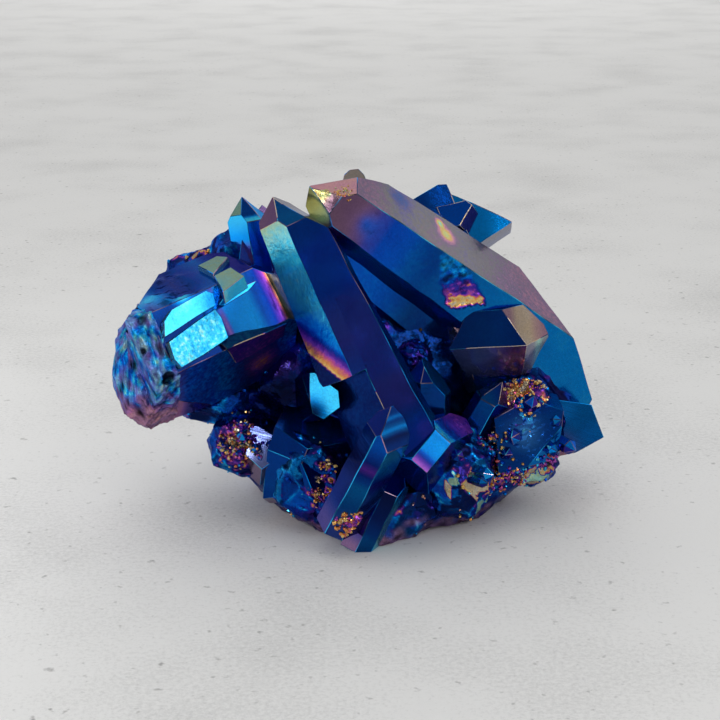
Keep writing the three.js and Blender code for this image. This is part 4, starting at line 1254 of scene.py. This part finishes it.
def druse_sites(rng, sizes):
    """Where the tiny points stand, in patches and thinly elsewhere: feet, outward ways, lengths and films."""
    forms = all_forms()
    spots = np.vstack([surface for surface, _, _ in SURFACES])
    ways = np.vstack([normals for _, normals, _ in SURFACES])
    rough = np.concatenate([np.full(len(surface), is_rock) for surface, _, is_rock in SURFACES])
    sites = []
    for middle, reach, count, size, films in DRUSE:
        away = distances(spots, middle)
        near = np.flatnonzero(away < reach)
        near = near[~buried_in(spots[near], forms, 0.9)]
        if len(near) == 0:
            raise RuntimeError(f"no surface within {reach} mm of {middle}")
        weight = np.exp(-1.5 * (away[near] / reach) ** 2)
        chosen = rng.choice(near, size=int(count * sizes.fullness), p=weight / weight.sum())
        lengths = size * rng.uniform(0.5, 1.3, len(chosen))
        rank = 0.45 + 0.3 * swell(spots[chosen], 2.2, 66) + 0.05 * rng.normal(size=len(chosen))
        rank = np.clip(rank, 0, 0.99)
        sites.append((chosen, lengths, np.array(films)[(rank * len(films)).astype(int)]))
    loose = rng.choice(np.flatnonzero(rough), size=int(sizes.loose * 4))
    loose = loose[~buried_in(spots[loose], forms, 0.7)][: sizes.loose]
    lengths = rng.uniform(0.25, 0.6, len(loose))
    sites.append((loose, lengths, rng.choice(LOOSE_FILMS, len(loose))))
    chosen, lengths, films = (np.concatenate(rows) for rows in zip(*sites))
    return spots[chosen], ways[chosen], lengths, films


def set_inputs(tree, node, values):
    """Sets a node's inputs, by name or number: a socket is linked in, and a number or a colour is set."""
    for slot, value in values.items():
        if isinstance(value, bpy.types.NodeSocket):
            tree.links.new(value, node.inputs[slot])
        else:
            node.inputs[slot].default_value = value


def add_node(tree, kind, inputs=(), **settings):
    """A shader node of a kind, with its settings and its inputs."""
    node = tree.nodes.new("ShaderNode" + kind)
    for title, value in settings.items():
        setattr(node, title, value)
    set_inputs(tree, node, dict(inputs))
    return node


def math_node(tree, operation, first, second, clamp=False):
    """A Math node whose inputs are sockets or numbers; gives its output socket."""
    return add_node(tree, "Math", {0: first, 1: second}, operation=operation, use_clamp=clamp).outputs[0]


def arithmetic(tree):
    """Sum, difference and product as Math nodes of a tree."""
    return [partial(math_node, tree, operation) for operation in ("ADD", "SUBTRACT", "MULTIPLY")]


def noise_node(tree, place, scale, detail, roughness=0.5):
    """A Noise node's value from 0 to 1; scale is in turns per metre of the object."""
    inputs = {"Vector": place, "Scale": scale, "Detail": detail, "Roughness": roughness}
    return add_node(tree, "TexNoise", inputs).outputs["Fac"]


def colour_mix(tree, blend, share, first, second):
    """Two colours mixed; gives the output socket."""
    inputs = {"Factor": share, "A": first, "B": second}
    return add_node(tree, "Mix", inputs, data_type="RGBA", blend_type=blend).outputs["Result"]


def object_place(tree):
    """The place on the object, in metres."""
    return add_node(tree, "TexCoord").outputs["Object"]


def coat_parts(tree):
    """Film, dimming and frost, from the coat held on the mesh."""
    coat = add_node(tree, "Attribute", attribute_name="coat").outputs["Vector"]
    return add_node(tree, "SeparateXYZ", {0: coat}).outputs


def cell_distance(tree, place, scale):
    """Distance to the nearest cell's middle."""
    return add_node(tree, "TexVoronoi", {"Vector": place, "Scale": scale}).outputs["Distance"]


def new_group(name, inputs, outputs):
    """An empty shader group with float inputs, by name and value, and outputs by name and type."""
    tree = fresh(bpy.data.node_groups, name, "ShaderNodeTree")
    for title, value in inputs.items():
        socket = tree.interface.new_socket(name=title, in_out="INPUT", socket_type="NodeSocketFloat")
        socket.default_value = value
    for title, kind in outputs.items():
        tree.interface.new_socket(name=title, in_out="OUTPUT", socket_type="NodeSocket" + kind)
    return tree, tree.nodes.new("NodeGroupInput").outputs, tree.nodes.new("NodeGroupOutput")


def film_group(colours, veil_colour):
    """Film Colour: reads the coat, lets the thickness wander by two noises, and looks its colour up.

    The coat's dimming darkens it, partly as painted shade, the veil lays a mauve cast over it, and a fine
    grain lightens and darkens it."""
    looks = {"Mottle": 0.04, "Mottle Scale": 180.0, "Fine": 0.02, "Grain": 0.2}
    inputs = {**looks, "Roughness": 0.12, "Frosted": 0.22}
    tree, given, out = new_group("Film Colour", inputs, {"Color": "Color", "Roughness": "Float"})
    plus, minus, times = arithmetic(tree)
    film, dim, frost = coat_parts(tree)
    place = object_place(tree)
    broad = noise_node(tree, place, given["Mottle Scale"], 3.0)
    fine = noise_node(tree, place, 2600.0, 2.0)
    film = plus(film, plus(times(minus(broad, 0.5), given["Mottle"]), times(minus(fine, 0.5), given["Fine"])))
    speckle = minus(noise_node(tree, place, 1500.0, 3.0, 0.65), 0.5)
    film = plus(film, times(speckle, times(frost, 0.45)))
    ramp = add_node(tree, "ValToRGB", {"Fac": math_node(tree, "DIVIDE", film, FILM_TOP, clamp=True)})
    stops = ramp.color_ramp.elements
    for index, ((_, thickness, _), colour) in enumerate(zip(FILM_SCALE, colours)):
        stop = stops[index] if index < 2 else stops.new(thickness / FILM_TOP)
        stop.position = thickness / FILM_TOP
        stop.color = (*colour, 1.0)
    veil = add_node(tree, "Attribute", attribute_name="veil").outputs["Fac"]
    veil = times(veil, plus(times(broad, 0.8), 0.6), clamp=True)
    cast = colour_mix(tree, "MIX", veil, ramp.outputs["Color"], (*veil_colour, 1.0))
    grain = times(minus(noise_node(tree, place, 3600.0, 2.0, 0.7), 0.5), given["Grain"])
    # The dimming, partly painted shade, with a fine grain over it.
    light = times(minus(1.0, dim), plus(grain, 1.0), clamp=True)
    smear = times(noise_node(tree, place, 420.0, 3.0), 0.12)
    rough = plus(plus(given["Roughness"], smear), times(frost, given["Frosted"]), clamp=True)
    set_inputs(tree, out, {"Color": colour_mix(tree, "MULTIPLY", 1.0, cast, light), "Roughness": rough})
    return tree


def growth_group():
    """Growth Relief: fine lines across the axis and small pits, as a height."""
    inputs = {"Lines": 0.6, "Pits": 0.4, "Frosted": 4.0}
    tree, given, out = new_group("Growth Relief", inputs, {"Height": "Float"})
    plus, _, times = arithmetic(tree)
    growth = add_node(tree, "Attribute", attribute_name="growth").outputs["Vector"]
    stretch = add_node(tree, "VectorMath", operation="MULTIPLY")
    set_inputs(tree, stretch, {0: growth, 1: (1.0, 0.1, 1.0)})
    lines = noise_node(tree, stretch.outputs["Vector"], 1.6, 3.0, 0.6)
    place = object_place(tree)
    pit = math_node(tree, "SMOOTH_MIN", cell_distance(tree, place, 1400.0), 0.22)
    height = plus(times(lines, given["Lines"]), times(pit, given["Pits"]))
    height = plus(height, times(noise_node(tree, place, 500.0, 3.0), 0.5))
    grain = times(noise_node(tree, place, 1300.0, 3.0, 0.6), coat_parts(tree)["Z"])
    set_inputs(tree, out, {"Height": plus(height, times(grain, given["Frosted"]))})
    return tree


def rough_group():
    """Broken Relief: rough quartz, from a noise and small cells, as a height."""
    tree, given, out = new_group("Broken Relief", {"Coarse": 0.6, "Cells": 0.5}, {"Height": "Float"})
    plus, _, times = arithmetic(tree)
    place = object_place(tree)
    coarse = times(noise_node(tree, place, 700.0, 5.0, 0.6), given["Coarse"])
    cells = times(cell_distance(tree, place, 1700.0), given["Cells"])
    set_inputs(tree, out, {"Height": plus(coarse, cells)})
    return tree


def new_material(name):
    """A fresh material, its node tree and its shader."""
    material = fresh(bpy.data.materials, name)
    material.use_nodes = True
    return material, material.node_tree, material.node_tree.nodes["Principled BSDF"]


def film_material(name, film, relief, film_values, relief_values, depth):
    """A coated quartz material: the film's colour, bright as metal, over a relief depth millimetres deep."""
    material, tree, shader = new_material(name)
    colour = add_node(tree, "Group", enumerate(film_values), node_tree=film).outputs
    height = add_node(tree, "Group", enumerate(relief_values), node_tree=relief).outputs["Height"]
    bump = add_node(tree, "Bump", {"Strength": 1.0, "Distance": depth * MM, "Height": height})
    shine = {
        "Base Color": colour["Color"],
        "Roughness": colour["Roughness"],
        "Normal": bump.outputs["Normal"],
        "Metallic": 0.88,
        "Specular IOR Level": 0.3,
        "Coat Weight": 0.05,
        "Coat Roughness": 0.05,
        "Specular Tint": (0.35, 0.42, 0.65, 1.0),
    }
    set_inputs(tree, shader, shine)
    return material


def finish(name):
    """A finish by name; the first time one is asked for, all four are made."""
    if name not in bpy.data.materials:
        settings = bpy.context.scene.film_colours
        film = film_group([getattr(settings, title) for title, _, _ in FILM_SCALE], settings.veil)
        reliefs = {"growth": growth_group(), "broken": rough_group()}
        for title, (relief, *values) in FINISHES.items():
            film_material(title, film, reliefs[relief], *values)
    return bpy.data.materials[name]


def film_property(name, thickness, colour):
    """A colour property for one stop of the film's scale."""
    return bpy.props.FloatVectorProperty(
        name=name.replace("_", " ").capitalize(),
        description=f"Colour of the film at thickness {thickness} of its scale",
        default=colour,
        subtype="COLOR",
        min=0.0,
        max=1.0,
    )


def light_property(name, light):
    """A power property for one light."""
    return bpy.props.FloatProperty(
        name=name.capitalize() + " light",
        description=f"Power of the {light[-1]}, in watts",
        default=light[0],
        min=0.0,
        max=50.0,
    )


class FilmColours(bpy.types.PropertyGroup):
    """The colours of the metal film, from thin to thick."""

    __annotations__ = {stop[0]: film_property(*stop) for stop in FILM_SCALE}
    __annotations__["veil"] = bpy.props.FloatVectorProperty(
        name="Veil", description="Colour of the mauve cast that lies over the film in places",
        default=VEIL, subtype="COLOR", min=0.0, max=1.0,
    )


class CrystalSizes(bpy.types.PropertyGroup):
    """Sizes of the crystals' finish."""

    edge_width: bpy.props.FloatProperty(
        name="Edge width", description="Width of the narrow bevel along each crystal edge",
        default=0.00011, min=0.00002, max=0.001, precision=6, unit="LENGTH",
    )
    face_step: bpy.props.FloatProperty(
        name="Face step", description="Distance between the points of a crystal face's grid",
        default=0.0004, min=0.0002, max=0.003, precision=6, unit="LENGTH",
    )
    waviness: bpy.props.FloatProperty(
        name="Waviness", description="How far the faces swell and sink",
        default=0.00006, min=0.0, max=0.0005, precision=6, unit="LENGTH",
    )
    crease: bpy.props.FloatProperty(
        name="Crease", description="Faces that meet at more than this many degrees keep a sharp edge",
        default=9.0, min=1.0, max=60.0,
    )


class RockSizes(bpy.types.PropertyGroup):
    """Sizes of the matrix's broken surface."""

    roughness: bpy.props.FloatProperty(
        name="Roughness", description="Height of the broken surface's bumps",
        default=0.00007, min=0.0, max=0.001, precision=6, unit="LENGTH",
    )
    scoop_size: bpy.props.FloatProperty(
        name="Scoop size", description="Width of the scoops where the quartz broke away",
        default=0.0045, min=0.001, max=0.02, precision=6, unit="LENGTH",
    )
    scoop_depth: bpy.props.FloatProperty(
        name="Scoop depth", description="Depth of the scoops",
        default=0.0009, min=0.0, max=0.003, precision=6, unit="LENGTH",
    )


class DruseSizes(bpy.types.PropertyGroup):
    """How much druse of tiny points there is."""

    fullness: bpy.props.FloatProperty(
        name="Fullness", description="How many of the tiny points stand in each patch",
        default=1.0, min=0.1, max=3.0,
    )
    loose: bpy.props.IntProperty(
        name="Loose points", description="How many tiny points are scattered over the rest of the rock",
        default=500, min=0, max=5000,
    )


class StageLook(bpy.types.PropertyGroup):
    """The floor and the light."""

    floor_colour: bpy.props.FloatVectorProperty(
        name="Floor colour", description="Colour of the floor",
        default=(0.72, 0.72, 0.715), subtype="COLOR", min=0.0, max=1.0,
    )
    floor_size: bpy.props.FloatProperty(
        name="Floor size", description="Width of the floor", default=4.0, min=0.5, max=20.0, unit="LENGTH"
    )
    sky: bpy.props.FloatProperty(
        name="Sky", description="Brightness of the pale studio around the object",
        default=0.85, min=0.0, max=5.0,
    )
    __annotations__.update({name: light_property(name, light) for name, light in LIGHTS.items()})


class QuartzOperator:
    """What the operators share."""

    bl_options = {"REGISTER", "UNDO"}


def add_crystals(context, name, members, relief=None):
    """One mesh of the crystals with those names."""
    add_solid(name, [crystal_form(NAMED[member]) for member in members], context.scene.crystal_sizes, relief)


class BuildMainPoint(QuartzOperator, bpy.types.Operator):
    """Build the large leaning point with its skirt and root"""

    bl_idname = "coated_quartz.main_point"
    bl_label = "Main point"

    def execute(self, context):
        members = ("main_point", "main_point_skirt", "main_point_root")
        add_crystals(context, "main_point", members, main_point_relief)
        return {"FINISHED"}


class BuildFrontPoint(QuartzOperator, bpy.types.Operator):
    """Build the tall front point and its foot"""

    bl_idname = "coated_quartz.front_point"
    bl_label = "Front point"

    def execute(self, context):
        add_crystals(context, "front_point", ("front_point", "front_point_foot"))
        return {"FINISHED"}


class BuildWestPrism(QuartzOperator, bpy.types.Operator):
    """Build the stout prism on the west side, the plates on it and its broken end"""

    bl_idname = "coated_quartz.west_prism"
    bl_label = "West prism"

    def execute(self, context):
        add_crystals(context, "west_prism", ("west_prism",), west_prism_relief)
        add_solid("west_prism_plates", [plate_form(*plate) for plate in PLATES], context.scene.crystal_sizes)
        points, triangles, coat = bark_surface()
        coat = coat[triangles.ravel()]
        add_piece("west_prism_end", points, triangles, finish("coated_bark"), coat, None, 60)
        return {"FINISHED"}


class BuildLesserCrystals(QuartzOperator, bpy.types.Operator):
    """Build the other crystals"""

    bl_idname = "coated_quartz.lesser_crystals"
    bl_label = "Lesser crystals"

    def execute(self, context):
        for name, members in CRYSTAL_GROUPS.items():
            add_crystals(context, name, members)
        return {"FINISHED"}


class BuildBlocks(QuartzOperator, bpy.types.Operator):
    """Build the small blocky crystals and the fields of small points"""

    bl_idname = "coated_quartz.blocks"
    bl_label = "Blocky crystals"

    def execute(self, context):
        sizes = context.scene.crystal_sizes
        add_solid("blocky_crystals", [block_form(*block) for block in BLOCKS.values()], sizes, block_relief)
        small = [crystal_form(point) for field in FIELDS for point in field_crystals(*field)]
        add_solid("pointlets", small, sizes)
        return {"FINISHED"}


class BuildMatrix(QuartzOperator, bpy.types.Operator):
    """Build the broken quartz that the crystals stand on"""

    bl_idname = "coated_quartz.matrix"
    bl_label = "Matrix"

    def execute(self, context):
        sizes = context.scene.rock_sizes
        for name, members in ROCK_GROUPS.items():
            add_rock(name, [lump_form(member) for member in members], sizes)
        add_rock("matrix_foot", [rim_form()], sizes)
        points, triangles, coat = ball_surface()
        coat = coat[triangles.ravel()]
        add_piece("pocket_ball", points, triangles, finish("coated_rock"), coat, None, 60)
        return {"FINISHED"}


class BuildDruse(QuartzOperator, bpy.types.Operator):
    """Build the patches of tiny points; the crystals and the matrix come first"""

    bl_idname = "coated_quartz.druse"
    bl_label = "Druse"

    def execute(self, context):
        if not SURFACES:
            raise RuntimeError("build the crystals and the matrix before the druse")
        rng = np.random.default_rng(5)
        feet, ways, lengths, films = druse_sites(rng, context.scene.druse_sizes)
        axes = unit(ways + 0.45 * rng.normal(size=ways.shape))
        widths = lengths * rng.uniform(0.4, 0.75, len(lengths))
        points, triangles, per = tiny_points(feet, axes, lengths, widths, rng.uniform(0, 1, len(lengths)))
        points[:, 2] = np.maximum(points[:, 2], 0.0)
        film = np.repeat(films + rng.normal(0, 0.015, len(films)), 3 * per)
        film += np.repeat(rng.normal(0, 0.02, len(triangles)), 3)
        coat = np.column_stack([film, np.zeros((len(film), 3))])
        add_piece("druse", points, triangles, finish("coated_druse"), coat, points[triangles.ravel()], 5)
        return {"FINISHED"}


def floor_material(colour):
    """Pale smooth concrete: a faint cloud of tone, small specks and a fine grain."""
    material, tree, shader = new_material("pale_floor")
    plus, minus, times = arithmetic(tree)
    place = object_place(tree)
    cloud = noise_node(tree, place, 26.0, 3.0)
    grain = noise_node(tree, place, 1300.0, 4.0, 0.8)
    spots = noise_node(tree, place, 520.0, 2.0)
    spots = times(minus(0.345, spots, clamp=True), 6.0, clamp=True)
    tone = plus(plus(times(cloud, 0.5), times(grain, 0.7)), 0.385)
    tone = minus(tone, times(spots, 0.6), clamp=True)
    bump = add_node(tree, "Bump", {"Distance": 0.0002, "Strength": 0.5, "Height": grain})
    shine = {
        "Base Color": colour_mix(tree, "MULTIPLY", 1.0, (*colour, 1.0), tone),
        "Roughness": 0.75,
        "Specular IOR Level": 0.25,
        "Normal": bump.outputs["Normal"],
    }
    set_inputs(tree, shader, shine)
    return material


def look_at(item, place, aim):
    """Places a light or camera, pointing at aim."""
    item.location = place
    item.rotation_euler = (aim - place).to_track_quat("-Z", "Y").to_euler()
    bpy.context.scene.collection.objects.link(item)


def soft_light(name, power, azimuth, elevation, distance, size, aim, mirrored):
    """A rectangular area light at an azimuth from +Y towards +X and an elevation, pointing at aim."""
    turn, rise = math.radians(azimuth), math.radians(elevation)
    away = Vector((math.sin(turn) * math.cos(rise), math.cos(turn) * math.cos(rise), math.sin(rise)))
    data = bpy.data.lights.new(name, "AREA")
    data.shape = "RECTANGLE"
    data.size, data.size_y = size
    data.energy = power
    lamp = bpy.data.objects.new(name, data)
    lamp.visible_glossy = mirrored
    look_at(lamp, aim + away * distance, aim)


def studio_world(brightness):
    """A pale studio: bright behind and above, dim on the camera's side, and one even tone where seen."""
    world = bpy.data.worlds.new("pale_studio")
    world.use_nodes = True
    tree = world.node_tree
    tree.nodes.clear()
    way = add_node(tree, "TexCoord").outputs["Generated"]
    depth = add_node(tree, "SeparateXYZ", {0: way}).outputs["Y"]
    span = {"Value": depth, "From Min": -0.35, "From Max": 0.45, "To Min": 0.4, "To Max": 1.0}
    back = add_node(tree, "MapRange", span, interpolation_type="SMOOTHSTEP").outputs["Result"]
    strength = math_node(tree, "MULTIPLY", back, brightness)
    seen = add_node(tree, "LightPath").outputs["Is Camera Ray"]
    mixed = add_node(tree, "Mix", {"Factor": seen, "A": strength, "B": 0.62}).outputs["Result"]
    light = add_node(tree, "Background", {"Color": (1.0, 0.995, 0.985, 1.0), "Strength": mixed})
    add_node(tree, "OutputWorld", {"Surface": light.outputs["Background"]})
    bpy.context.scene.world = world


class BuildStage(QuartzOperator, bpy.types.Operator):
    """Build the floor, the studio light and the camera"""

    bl_idname = "coated_quartz.stage"
    bl_label = "Stage"

    def execute(self, context):
        scene = context.scene
        look = scene.stage_look
        half = look.floor_size / 2
        mesh = bpy.data.meshes.new("floor")
        corners = [(-half, -half, 0), (half, -half, 0), (half, half, 0), (-half, half, 0)]
        mesh.from_pydata(corners, [], [(0, 1, 2, 3)])
        mesh.materials.append(floor_material(look.floor_colour))
        floor = bpy.data.objects.new("floor", mesh)
        scene.collection.objects.link(floor)
        studio_world(look.sky)
        middle = Vector(CAMERA_AIM) * MM
        for name, (_, azimuth, elevation, distance, size, aim, mirrored, _) in LIGHTS.items():
            target = Vector(aim) if aim else middle
            soft_light(name, getattr(look, name), azimuth, elevation, distance, size, target, mirrored)
        data = bpy.data.cameras.new("camera")
        data.lens = LENS
        data.clip_start = 0.01
        camera = bpy.data.objects.new("camera", data)
        look_at(camera, Vector(CAMERA_PLACE) * MM, middle)
        scene.camera = camera
        scene.view_settings.view_transform = "Standard"
        return {"FINISHED"}


OPERATORS = (
    BuildMainPoint,
    BuildFrontPoint,
    BuildWestPrism,
    BuildLesserCrystals,
    BuildBlocks,
    BuildMatrix,
    BuildDruse,
    BuildStage,
)
GROUPS = {
    "film_colours": FilmColours,
    "crystal_sizes": CrystalSizes,
    "rock_sizes": RockSizes,
    "druse_sizes": DruseSizes,
    "stage_look": StageLook,
}


class QuartzPanel(bpy.types.Panel):
    """Lists the pieces of the cluster and their settings"""

    bl_idname = "VIEW3D_PT_coated_quartz"
    bl_label = "Coated quartz"
    bl_space_type = "VIEW_3D"
    bl_region_type = "UI"
    bl_category = "Quartz"

    def draw(self, context):
        column = self.layout.column()
        for operator in OPERATORS:
            column.operator(operator.bl_idname)
        for name, group in GROUPS.items():
            box = self.layout.box()
            box.label(text=group.__doc__)
            for title in group.__annotations__:
                box.prop(getattr(context.scene, name), title)


def register():
    """Registers the classes and hangs the settings on the scene."""
    for item in (*GROUPS.values(), *OPERATORS, QuartzPanel):
        bpy.utils.register_class(item)
    for name, group in GROUPS.items():
        setattr(bpy.types.Scene, name, bpy.props.PointerProperty(type=group))


def unregister():
    """Takes the settings and the classes away again."""
    for name in GROUPS:
        delattr(bpy.types.Scene, name)
    for item in reversed((*GROUPS.values(), *OPERATORS, QuartzPanel)):
        bpy.utils.unregister_class(item)


def main():
    """Builds the cluster and its stage, piece by piece."""
    register()
    for operator in OPERATORS:
        getattr(bpy.ops.coated_quartz, operator.bl_idname.split(".")[1])()


if __name__ == "__main__":
    main()
